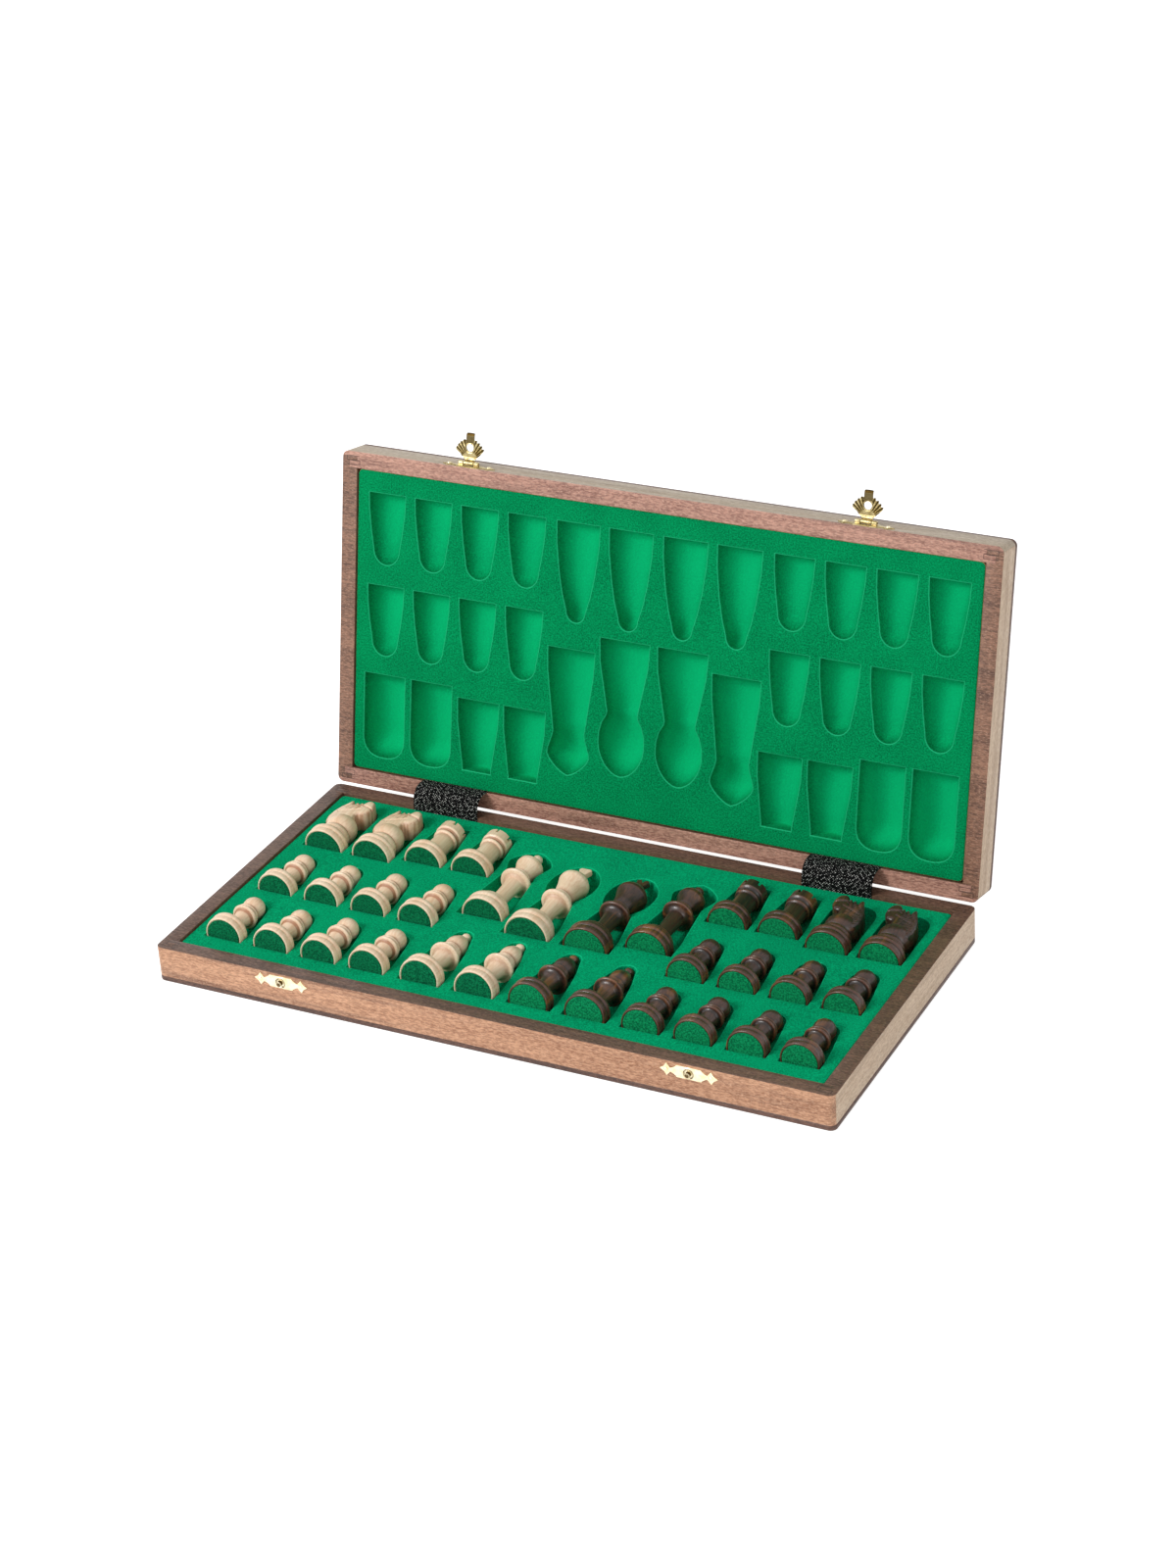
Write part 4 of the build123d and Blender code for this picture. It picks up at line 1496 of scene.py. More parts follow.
    def border(self, inset: float) -> Loop:
        """Rounded outline of the tray.

        Args:
            inset: How far it is drawn in.

        Returns:
            The outline, counted round.
        """
        sizes = self.sizes
        right = sizes.length / 2 - sizes.wall - sizes.tray_side - inset
        low = -sizes.depth / 2 + sizes.wall + sizes.tray_front + inset
        high = sizes.depth / 2 - sizes.wall - sizes.tray_rear - inset
        radius = max(0.4, sizes.tray_corner - inset)
        points = []
        corners = ((right, high, 0), (-right, high, 90), (-right, low, 180), (right, low, 270))
        for x, y, start in corners:
            cx, cy = x - math.copysign(radius, x), y - math.copysign(radius, y)
            for step in range(7):
                angle = math.radians(start + 15 * step)
                points.append((cx + radius * math.cos(angle), cy + radius * math.sin(angle)))
        return cut_up(points, self.pitch, int)

    def deck(self, holes: list[Loop]) -> None:
        """Fill the deck between the cups and close the tray below.

        Args:
            holes: Outlines of the holes.
        """
        sheet = self.sheet
        edge = self.border(self.bevel)
        side, front = self.sizes.length / 2, self.sizes.depth / 2
        spots = ((x, y) for x in steps(-side, side, self.pitch) for y in steps(-front, front, self.pitch))
        verts, faces, _ = fill_flat(edge, holes, spots, self.keep_off)
        numbers = [sheet.add((v.x, v.y, 0.0)) for v in verts]
        for corners in faces:
            sheet.face([numbers[c] for c in corners])
        floor = self.sizes.panel + 0.1 - (self.sizes.height - self.sink_edge)
        rings = []
        for inset, z in (*self.round_over, (0.0, floor)):
            rings.append([sheet.add((x, y, z)) for x, y in self.border_like(edge, self.bevel - inset)])
        sheet.grid(rings[:3], loop=True)
        sheet.grid(rings[2:], loop=True, kind=1)
        sheet.face(rings[-1], kind=1)

    @staticmethod
    def border_like(edge: Loop, out: float) -> Loop:
        """The edge moved outwards, point by point.

        Args:
            edge: The edge.
            out: How far.

        Returns:
            The moved edge.
        """
        count = len(edge)
        moved = []
        for index, (x, y) in enumerate(edge):
            (x0, y0), (x1, y1) = edge[index - 1], edge[(index + 1) % count]
            along = Vector((x1 - x0, y1 - y0)).normalized()
            moved.append((x + along.y * out, y - along.x * out))
        return moved


# ------------ men
@dataclass(frozen=True)
class ManSizes:
    """Main sizes of one kind of man, heights measured up from the felt."""

    foot: float
    groove: float
    ring_top: float
    step: float
    step_top: float
    neck: float
    neck_at: float
    head: float
    height: float


PAWN = ManSizes(11.6, 4.2, 8.6, 9.0, 9.6, 4.1, 12.8, 6.6, 39.7)
BISHOP = ManSizes(12.4, 4.5, 9.2, 10.2, 11.0, 4.3, 14.8, 6.3, 57.7)
ROOK = ManSizes(12.4, 4.5, 9.2, 9.4, 10.2, 6.4, 12.8, 8.3, 38.2)
QUEEN = ManSizes(13.3, 4.8, 9.9, 11.1, 13.4, 4.4, 19.4, 8.2, 72.0)
KING = ManSizes(13.9, 5.1, 10.4, 11.6, 14.2, 4.6, 20.4, 9.3, 77.0)
KNIGHT = ManSizes(12.7, 4.5, 9.0, 9.6, 10.0, 8.6, 10.9, 10.4, 48.0)


def turned_foot(man: ManSizes) -> Profile:
    """Foot: two full rings with a groove between them, a step, then a fall to the stem.

    Args:
        man: Sizes of the man.

    Returns:
        His outline up to the neck.
    """
    foot, groove, top = man.foot, man.groove, man.ring_top
    outline = Profile(foot - 1.1, 0.7).line(foot - 1.05, 0.35)
    outline.arc(foot - 0.35, 0.7, 0.14)
    outline.arc(foot - 0.3, groove - 0.35, 0.22)
    outline.line(foot - 1.1, groove)
    outline.line(foot - 0.45, groove + 0.4)
    outline.arc(foot - 1.1, top - 0.2, 0.75)
    outline.line(foot - 1.9, top)
    outline.line(man.step - 0.3, top + 0.3)
    outline.arc(man.step - 0.9, man.step_top, 0.5)
    return outline.arc(man.neck, man.neck_at, -0.3 * (man.step - man.neck))


def collar(outline: Profile, radius: float, low: float, thick: float) -> Profile:
    """A disc on a stem that flares only close under it, with a thin rounded edge.

    Args:
        outline: Outline up to the stem.
        radius: Radius of the disc.
        low: Height of its underside.
        thick: Its thickness.

    Returns:
        The outline with the disc.
    """
    stem = outline.points[-1][0]
    outline.arc(stem + 0.9, low - 2.0, -0.3)
    outline.arc(radius - 0.7, low - 0.1, -0.5)
    outline.line(radius - 0.3, low + 0.1)
    return outline.arc(radius - 0.7, low + thick, 0.3 * thick)


def rings(outline: Profile, low: float, *sizes: float) -> Profile:
    """Small rounded rings on each other, each with a groove below it.

    Args:
        outline: Outline up to the rings.
        low: Height of the lowest groove.
        *sizes: Radius of each ring, from below.

    Returns:
        The outline with the rings.
    """
    for radius in sizes:
        outline.line(radius - 1.5, low + 0.25).line(radius - 0.9, low + 0.6)
        outline.arc(radius - 0.6, low + 2.0, 0.65)
        low += 2.15
    return outline


def pawn_outline() -> Profile:
    """Pawn with a collar, a ring and a round head.

    Returns:
        The half outline.
    """
    outline = rings(collar(turned_foot(PAWN), 7.5, 22.6, 1.9), 24.8, 7.0)
    outline.line(4.9, 27.6).line(4.9, 28.7)
    return outline.arc(5.0, 37.41, PAWN.head - 5.0).cap(PAWN.height)


def bishop_outline() -> Profile:
    """Bishop with an egg-shaped head and a small ball.

    Returns:
        The half outline.
    """
    outline = rings(collar(turned_foot(BISHOP), 8.9, 29.0, 1.9), 31.2, 7.6, 7.0, 6.4)
    outline.line(4.9, 38.3).arc(5.2, 47.4, BISHOP.head - 5.0).arc(1.8, 52.2, 0.6)
    return outline.line(1.6, 52.5).arc(1.7, 57.1, 1.2).cap(BISHOP.height)


def rook_outline() -> Profile:
    """Rook up to the bottom of its slots.

    Returns:
        The half outline.
    """
    outline = turned_foot(ROOK).line(6.3, 20.0).arc(6.3, 26.8, -0.1)
    outline.line(7.0, 27.2).arc(7.2, 28.8, 0.4).line(6.5, 29.2)
    outline.arc(ROOK.head - 0.3, 31.4, -0.4).line(ROOK.head, 31.8)
    return outline.line(ROOK.head, ROOK.height - 3.25)


def queen_outline() -> Profile:
    """Queen with a globe on three rings and a ball.

    Returns:
        The half outline.
    """
    outline = rings(collar(turned_foot(QUEEN), 9.4, 40.6, 2.1), 43.0, 7.8, 6.8)
    outline.line(4.9, 47.8).line(5.3, 48.4).arc(7.9, 56.8, -0.35).arc(QUEEN.head, 58.8, 0.2)
    outline.arc(7.0, 61.4, 0.45).arc(2.4, 65.6, 0.7).line(1.9, 66.3)
    return outline.arc(2.0, 71.1, 1.15).cap(QUEEN.height)


def king_outline() -> Profile:
    """King with a goblet head on three rings, without his finial.

    Returns:
        The half outline.
    """
    outline = rings(collar(turned_foot(KING), 9.3, 37.4, 2.4), 40.1, 8.0, 7.0)
    outline.line(5.4, 44.9).line(5.9, 45.6).arc(8.9, 58.4, -0.35).arc(KING.head, 60.4, 0.2)
    outline.arc(8.2, 62.6, 0.4)
    return outline.arc(2.6, KING.height - 8.4, 0.9)


def knight_outline() -> Profile:
    """Foot, shoulder ring and round body of a knight.

    Returns:
        The half outline.
    """
    outline = turned_foot(KNIGHT).arc(8.5, 15.8, 1.1)
    outline.line(7.7, 16.4).line(8.3, 16.9)
    return outline.arc(5.6, 29.2, 2.5).cap(30.6)


@dataclass(frozen=True)
class Lie:
    """How a kind lies: places of its men and how they sink and tilt."""

    columns: tuple[float, ...]
    row: float
    sink: float
    tilts: tuple[float, ...]
    clear: float = 1.1


@dataclass(frozen=True)
class Kind:
    """One kind of man."""

    name: str
    sizes: ManSizes
    outline: Callable[[], Profile]
    lies: tuple[Lie, ...]


KINDS = (
    Kind("king", KING, king_outline, (Lie((18.29,), 87.8, 3.9, (-0.6,)),)),
    Kind("queen", QUEEN, queen_outline, (Lie((51.2,), 97.9, 3.9, (0.0,)),)),
    Kind("rooks", ROOK, rook_outline, (Lie((81.18, 111.81), 138.6, 3.5, (-1.6, -1.0)),)),
    Kind("knights", KNIGHT, knight_outline, (Lie((143.21, 174.78), 132.8, 2.7, (-2.2, -2.8)),)),
    Kind("bishops", BISHOP, bishop_outline, (Lie((16.6, 50.39), 23.1, 0.9, (4.6, 5.2)),)),
    Kind("pawns", PAWN, pawn_outline, (
        Lie(PAWN_COLUMNS, 23.1, 0.7, (2.6, 1.6, 3.6, 0.6)),
        Lie(PAWN_COLUMNS, 78.5, 2.0, (2.8, 2.0, 3.4, 1.6)),
    )),
)


def slab(stand: Stand, outline: Sequence[Spot], half: float, ease: float) -> None:
    """Add a plate that stands in the XZ plane, with eased edges.

    Args:
        stand: Where the plate stands.
        outline: Its outline as (x, z), round its middle.
        half: Half its thickness.
        ease: How far its edges are eased.
    """
    middle = Vector((sum(x for x, _ in outline), sum(z for _, z in outline))) / len(outline)
    rings = []
    for y, inset in ((-half, ease), (ease - half, 0.0), (half - ease, 0.0), (half, ease)):
        ring = []
        for x, z in outline:
            away = Vector((x, z)) - middle
            kept = middle + away * max(0.0, 1 - inset / max(away.length, 0.1))
            # Eased edges are marked as edges, for a painted highlight on turned wood.
            ring.append(stand.add(kept.x, y, kept.y, -0.3 if inset else 0.0))
        rings.append(ring)
    stand.sheet.grid(rings, loop=True)
    stand.sheet.face(rings[0])
    stand.sheet.face(reversed(rings[-1]))


def finial(notched: bool) -> Loop:
    """Outline of a king's wedge, counted round.

    Args:
        notched: Whether its top has a notch.

    Returns:
        Points as (x, z).
    """
    top, low = KING.height, KING.height - 9.2
    right = [(2.0, low), (2.2, top - 6.4), (3.9, top - 1.2), (3.1, top)]
    notch = [(1.6, top), (0.0, top - 2.6), (-1.6, top)] if notched else []
    return right + notch + [(-x, z) for x, z in reversed(right)]


def crown(stand: Stand) -> None:
    """Add the six merlons of a rook.

    Args:
        stand: Where the rook lies.
    """
    top, low = ROOK.height, ROOK.height - 3.5
    inner, outer = 5.7, ROOK.head + 0.01
    section = (
        (outer, low), (outer, top - 0.3), (outer - 0.25, top),
        (inner + 0.25, top), (inner, top - 0.3), (inner, low),
    )
    for block in range(6):
        rows = []
        for step in range(10):
            angle = math.radians(60 * block + 5.5 + 49.0 * step / 9)
            c, s = math.cos(angle), math.sin(angle)
            rows.append([stand.add(r * c, r * s, z) for r, z in section])
        stand.sheet.grid(rows, loop=True)
        stand.sheet.face(rows[0])
        stand.sheet.face(reversed(rows[-1]))


def hump(away: float, width: float) -> float:
    """1 in the middle of a cut or ring, falling off over its width."""
    return math.exp(-((away / width) ** 2))


@dataclass(frozen=True)
class HorseHead:
    """Carved head of a knight: a silhouette that swells towards its middle.

    Its muzzle is towards +X with facing 1, and towards -X with facing -1, where the
    mane is cut with slanting lines too.
    """

    facing: float
    silhouette: tuple[Spot, ...] = (
        (-6.0, 18.2), (-9.2, 20.6), (-10.2, 25.0), (-9.8, 31.0), (-8.2, 37.0), (-6.4, 40.8),
        (-5.2, 43.4), (-4.4, 45.8), (-3.2, 44.4), (-2.4, 42.4), (-1.6, 42.0), (-0.4, 44.1),
        (0.4, 43.9), (1.0, 42.5), (2.3, 44.8), (3.1, 44.5), (3.5, 43.6), (4.6, 46.3),
        (6.2, 47.7), (8.0, 47.6), (9.8, 46.4), (10.9, 44.3), (11.5, 41.5), (11.5, 38.6),
        (10.7, 35.9), (9.2, 33.6), (7.4, 32.6), (5.6, 32.4), (4.6, 31.0), (5.0, 28.4),
        (6.4, 25.0), (5.0, 18.2),
    )
    thick: float = 6.6
    swell: float = 3.0
    rim: float = 5.0
    hatch: float = 1.5
    hatch_deep: float = 0.32
    cut_deep: float = 0.8
    far_off: float = 9.0
    pitch: float = 0.55
    folds: tuple[Point, ...] = ((-3.4, 39.6, 62.0), (-0.6, 39.2, 70.0), (2.4, 39.9, 78.0))

    def height(self, point: Spot, loop: Loop) -> float:
        """Half thickness of the head at a point of the silhouette.

        Args:
            point: The point.
            loop: The silhouette.

        Returns:
            The half thickness there.
        """
        x, z = point
        near = min(self.gap(point, a, b) for a, b in zip(loop, loop[1:] + loop[:1]))
        share = min(1.0, near / self.swell)
        height = self.rim + (self.thick - self.rim) * math.sqrt(max(0.0, 1 - (1 - share) ** 2))
        if self.facing < 0 and x < 1.5 and z < 41.0:
            height -= self.hatch_deep * max(0.0, math.sin((0.62 * x + 0.78 * z) / self.hatch * 2 * math.pi))
        for fx, fz, turn in self.folds:
            along = Vector((math.cos(math.radians(turn)), math.sin(math.radians(turn))))
            away = Vector((x - fx, z - fz))
            side = abs(away.cross(along)) if abs(away.dot(along)) < 3.2 else self.far_off
            height -= self.cut_deep * hump(side, 0.7)
        mouth = abs((z - 40.6) + 0.3 * (x - 8.0)) if x > 4.2 else self.far_off
        height -= 1.1 * hump(mouth, 0.6)
        cheek = abs((z - 33.4) - 0.5 * (x + 2.0)) if -7.0 < x < 5.0 else self.far_off
        height -= 0.5 * hump(cheek, 0.6)
        height -= self.cut_deep * hump(math.dist(point, (3.2, 40.0)), 0.8)
        return max(0.5, height)

    @staticmethod
    def gap(point: Spot, a: Spot, b: Spot) -> float:
        """Distance of a point from a line between two others.

        Args:
            point: The point.
            a: One end of the line.
            b: Its other end.

        Returns:
            The distance.
        """
        p, a_, b_ = Vector(point), Vector(a), Vector(b)
        run = b_ - a_
        share = max(0.0, min(1.0, (p - a_).dot(run) / max(run.length_squared, 1e-9)))
        return (p - a_ - run * share).length

    def build(self, stand: Stand) -> None:
        """Add the head.

        Args:
            stand: Where the knight stands.
        """
        dense = cut_up(self.silhouette, 1.1)
        spots = ((x, z) for z in steps(18.5, 48.0, self.pitch) for x in steps(-10.0, 12.0, self.pitch))
        verts, faces, _ = fill_flat(dense, [], spots, 0.3)
        for side in (-1, 1):
            numbers = []
            for vert in verts:
                half = self.height((vert.x, vert.y), dense)
                # Painted shade in the carved cuts: the thinner the head at a point, the more hollow it is
                # marked.
                hollow = 0.35 * min(1.0, max(0.0, self.thick - half))
                numbers.append(stand.add(self.facing * vert.x, side * half, vert.y, hollow))
            for corners in faces:
                stand.sheet.face([numbers[c] for c in corners])
        rows = []
        for side in (-1, 1):
            halves = [(x, side * self.height((x, z), dense), z) for x, z in dense]
            # Painted shade along the head's sides, marked as slightly hollow.
            rows.append([stand.add(self.facing * x, half, z, 0.2) for x, half, z in halves])
        stand.sheet.grid(rows, loop=True)


@dataclass
class Men:
    """All men of one colour with their felts."""

    colour: str
    side: int
    wood: TurnedWood
    felt: Felt
    felt_less: float = 1.5
    sharp: float = 32.0

    def build(self) -> None:
        """Make every kind, its men in one piece and their felts in another."""
        wood, felt = self.wood.material(), self.felt.material()
        for kind in KINDS:
            body = f"{self.colour}_{kind.name}_set"
            sheet, felts = Sheet(), Sheet()
            for number, place in enumerate(self.places(kind)):
                seed = number + 1 + 9 * KINDS.index(kind) + (60 if self.side > 0 else 0)
                self.man(Stand(sheet, place, seed), kind)
                self.felt_disc(Stand(felts, place, seed), kind)
            whole = f"{self.colour}_{kind.name}"
            made = sheet.object(f"{whole}_visual", wood, smooth=self.sharp)
            settle(made, body, f"{self.colour}_man_wood", whole)
            discs = felts.object(f"{whole}_felts", felt)
            settle(discs, body, "green_felt", f"{whole}_felt")

    def places(self, kind: Kind) -> list[Matrix]:
        """Where the men of a kind lie, feet to the front.

        Args:
            kind: The kind.

        Returns:
            The place of each man's foot.
        """
        made = []
        for lie in kind.lies:
            for column, tilt in zip(lie.columns, lie.tilts):
                along = lie.row + lie.clear - HalfSizes.depth / 2
                at = Matrix.Translation((self.side * column, along, HalfSizes.height - lie.sink))
                made.append(at @ Matrix.Rotation(math.radians(-90 - tilt), 4, "X"))
        return made

    def man(self, stand: Stand, kind: Kind) -> None:
        """Add one man.

        Args:
            stand: Where he lies.
            kind: His kind.
        """
        spun = replace(stand, place=stand.place @ Matrix.Rotation(stand.seed * 2.4, 4, "Z"))
        kind.outline().turn(stand if kind.name in ("king", "knights") else spun)
        if kind.name == "king":
            slab(stand, finial(self.side > 0), 1.6, 0.4)
        if kind.name == "rooks":
            crown(spun)
        if kind.name == "knights":
            HorseHead(-float(self.side)).build(stand)

    def felt_disc(self, stand: Stand, kind: Kind) -> None:
        """Add one felt, slightly domed with a soft edge.

        Args:
            stand: Where the man above it lies.
            kind: Kind of that man.
        """
        radius = kind.sizes.foot - self.felt_less
        outline = Profile(radius * 0.5, 0.05).line(radius - 0.5, 0.12).arc(radius, 0.45, 0.12)
        outline.line(radius - 0.02, 0.85)
        outline.turn(stand, 40)


# ------------ repeated and swept shapes
class Growth(Shade):
    """A Geometry Nodes tree with named size inputs, run once on an object."""

    def __init__(self, name: str) -> None:
        """Start a tree with its geometry input and output.

        Args:
            name: Name of the tree.
        """
        super().__init__(bpy.data.node_groups.new(name, "GeometryNodeTree"))
        for way in ("INPUT", "OUTPUT"):
            self.tree.interface.new_socket("Geometry", in_out=way, socket_type="NodeSocketGeometry")
        self.into = self.node("NodeGroupInput")
        self.out = self.node("NodeGroupOutput")
        self.values: dict[str, object] = {}

    def size(self, name: str, value: object, kind: str = "NodeSocketFloat") -> Socket:
        """Add a named input.

        Args:
            name: Its name.
            value: Its value for this run.
            kind: Its socket type.

        Returns:
            The socket inside the tree.
        """
        socket = self.tree.interface.new_socket(name, in_out="INPUT", socket_type=kind)
        self.values[socket.identifier] = value
        return self.into.outputs[name]

    def bake(
        self,
        source: Object,
        geometry: Socket,
        material: Material,
        name: str,
    ) -> Object:
        """Finish the tree, run it on an object and keep the plain mesh.

        Args:
            source: Object that carries the points or the path; it is removed.
            geometry: What the tree has made.
            material: Finish of the result.
            name: Name of the result.

        Returns:
            The new object.
        """
        real = self.node("GeometryNodeRealizeInstances", {0: geometry})
        dressed = self.node("GeometryNodeSetMaterial", {"Geometry": real.outputs[0], "Material": material})
        self.feed(self.out.inputs[0], dressed.outputs[0])
        modifier = source.modifiers.new("growth", "NODES")
        modifier.node_group = self.tree
        for identifier, value in self.values.items():
            modifier[identifier] = value
        bpy.context.view_layer.update()
        graph = bpy.context.evaluated_depsgraph_get()
        mesh = bpy.data.meshes.new_from_object(source.evaluated_get(graph))
        mesh.name = name
        source.modifiers.remove(modifier)
        bpy.data.objects.remove(source)
        work = bmesh.new()
        work.from_mesh(mesh)
        bmesh.ops.remove_doubles(work, verts=work.verts, dist=0.00001)
        bmesh.ops.recalc_face_normals(work, faces=work.faces)
        work.to_mesh(mesh)
        work.free()
        mesh.materials.clear()
        return finished(mesh, name, [material])


def point_object(name: str, points: Sequence[Vector], chain: bool = False) -> Object:
    """An object of loose points, or of points joined in a row.

    Args:
        name: Its name.
        points: The points, in metres.
        chain: Whether edges join them.

    Returns:
        The object, at the origin.
    """
    mesh = bpy.data.meshes.new(name)
    edges = [(i, i + 1) for i in range(len(points) - 1)] if chain else []
    mesh.from_pydata([tuple(point) for point in points], edges, [])
    return linked(name, mesh)


# ------------ tapes
@dataclass
class Tapes:
    """Two woven tapes that run from behind the lower tray up behind the upper one."""

    finish: WovenTape
    middle: float = 125.05
    wide: float = 42.5
    thick: float = 0.6
    face: float = 91.4
    rim: float = HalfSizes.height
    tuck: float = 8.0
    rise: float = 10.0
    fall: float = 9.0

    def path(self) -> list[Vector]:
        """Middle line of a tape in the YZ plane, in millimetres.

        Returns:
            Its points, from the tuck in the lower tray to the tuck in the upper one.
        """
        low = Vector((0.0, self.face, self.rim))
        lid = Frame.lid()
        end = lid @ low
        far = lid @ (low - Vector((0.0, 0.0, self.tuck)))
        ahead = (end - far).normalized()
        points = [low - Vector((0.0, 0.0, self.tuck)), low - Vector((0.0, 0.0, self.tuck / 2))]
        handles = (low, low + Vector((0.0, 0.0, self.rise)), end + ahead * self.fall, end)
        for step in range(17):
            t = step / 16
            weights = ((1 - t) ** 3, 3 * t * (1 - t) ** 2, 3 * t * t * (1 - t), t**3)
            points.append(sum((h * w for h, w in zip(handles, weights)), Vector((0.0, 0.0, 0.0))))
        points += [(end + far) / 2, far]
        return [Vector((0.0, p.y, p.z)) for p in points]

    def build(self) -> None:
        """Make both tapes."""
        for side, name in ((-1, "left"), (1, "right")):
            made, length = self.strip(side, name)
            points = self.path()
            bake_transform(made)
            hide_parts(f"{name}_tape")
            LOG.info("%s tape, %.1f mm long", name, length)

    def strip(self, side: int, name: str) -> tuple[Object, float]:
        """Sweep one tape along its path.

        Args:
            side: -1 for left, 1 for right.
            name: Which tape.

        Returns:
            The tape and its length in millimetres.
        """
        points = self.path()
        length = sum((b - a).length for a, b in zip(points, points[1:]))
        shifted = [(p + Vector((side * self.middle, 0.0, 0.0))) * MM for p in points]
        source = point_object(f"{name}_tape_path", shifted, chain=True)
        growth = Growth(f"{name}_tape_sweep")
        wide = growth.size("Tape width", self.wide * MM)
        thick = growth.size("Tape thickness", self.thick * MM)
        count = growth.size("Steps", 44, "NodeSocketInt")
        curve = growth.node("GeometryNodeMeshToCurve", {"Mesh": growth.into.outputs[0]})
        even = growth.node("GeometryNodeResampleCurve", {"Curve": curve.outputs[0], "Count": count})
        feeds = {"Curve": even.outputs[0], "Normal": (1.0, 0.0, 0.0)}
        across = growth.node("GeometryNodeSetCurveNormal", feeds, mode="FREE")
        along = growth.node("GeometryNodeSplineParameter")
        kept = growth.node("GeometryNodeCaptureAttribute", {"Geometry": across.outputs[0]})
        kept.capture_items.new("FLOAT", "Length")
        growth.feed(kept.inputs["Length"], along.outputs["Length"])
        frame = growth.node("GeometryNodeCurvePrimitiveQuadrilateral", {"Width": wide, "Height": thick})
        edge = growth.node("GeometryNodeResampleCurve", {"Curve": frame.outputs[0], "Count": 64})
        swept = growth.node(
            "GeometryNodeCurveToMesh",
            {"Curve": kept.outputs["Geometry"], "Profile Curve": edge.outputs[0], "Fill Caps": True},
        )
        place = growth.node("GeometryNodeInputPosition")
        parts = growth.node("ShaderNodeSeparateXYZ", {0: place.outputs[0]})
        weave = growth.node("ShaderNodeCombineXYZ", {0: parts.outputs[0], 1: kept.outputs["Length"]})
        named = growth.node(
            "GeometryNodeStoreNamedAttribute",
            {"Geometry": swept.outputs[0], "Name": "weave", "Value": weave.outputs[0]},
            data_type="FLOAT_VECTOR",
            domain="POINT",
        )
        made = growth.bake(source, named.outputs[0], self.finish.material(), f"{name}_tape_visual")
        return made, length


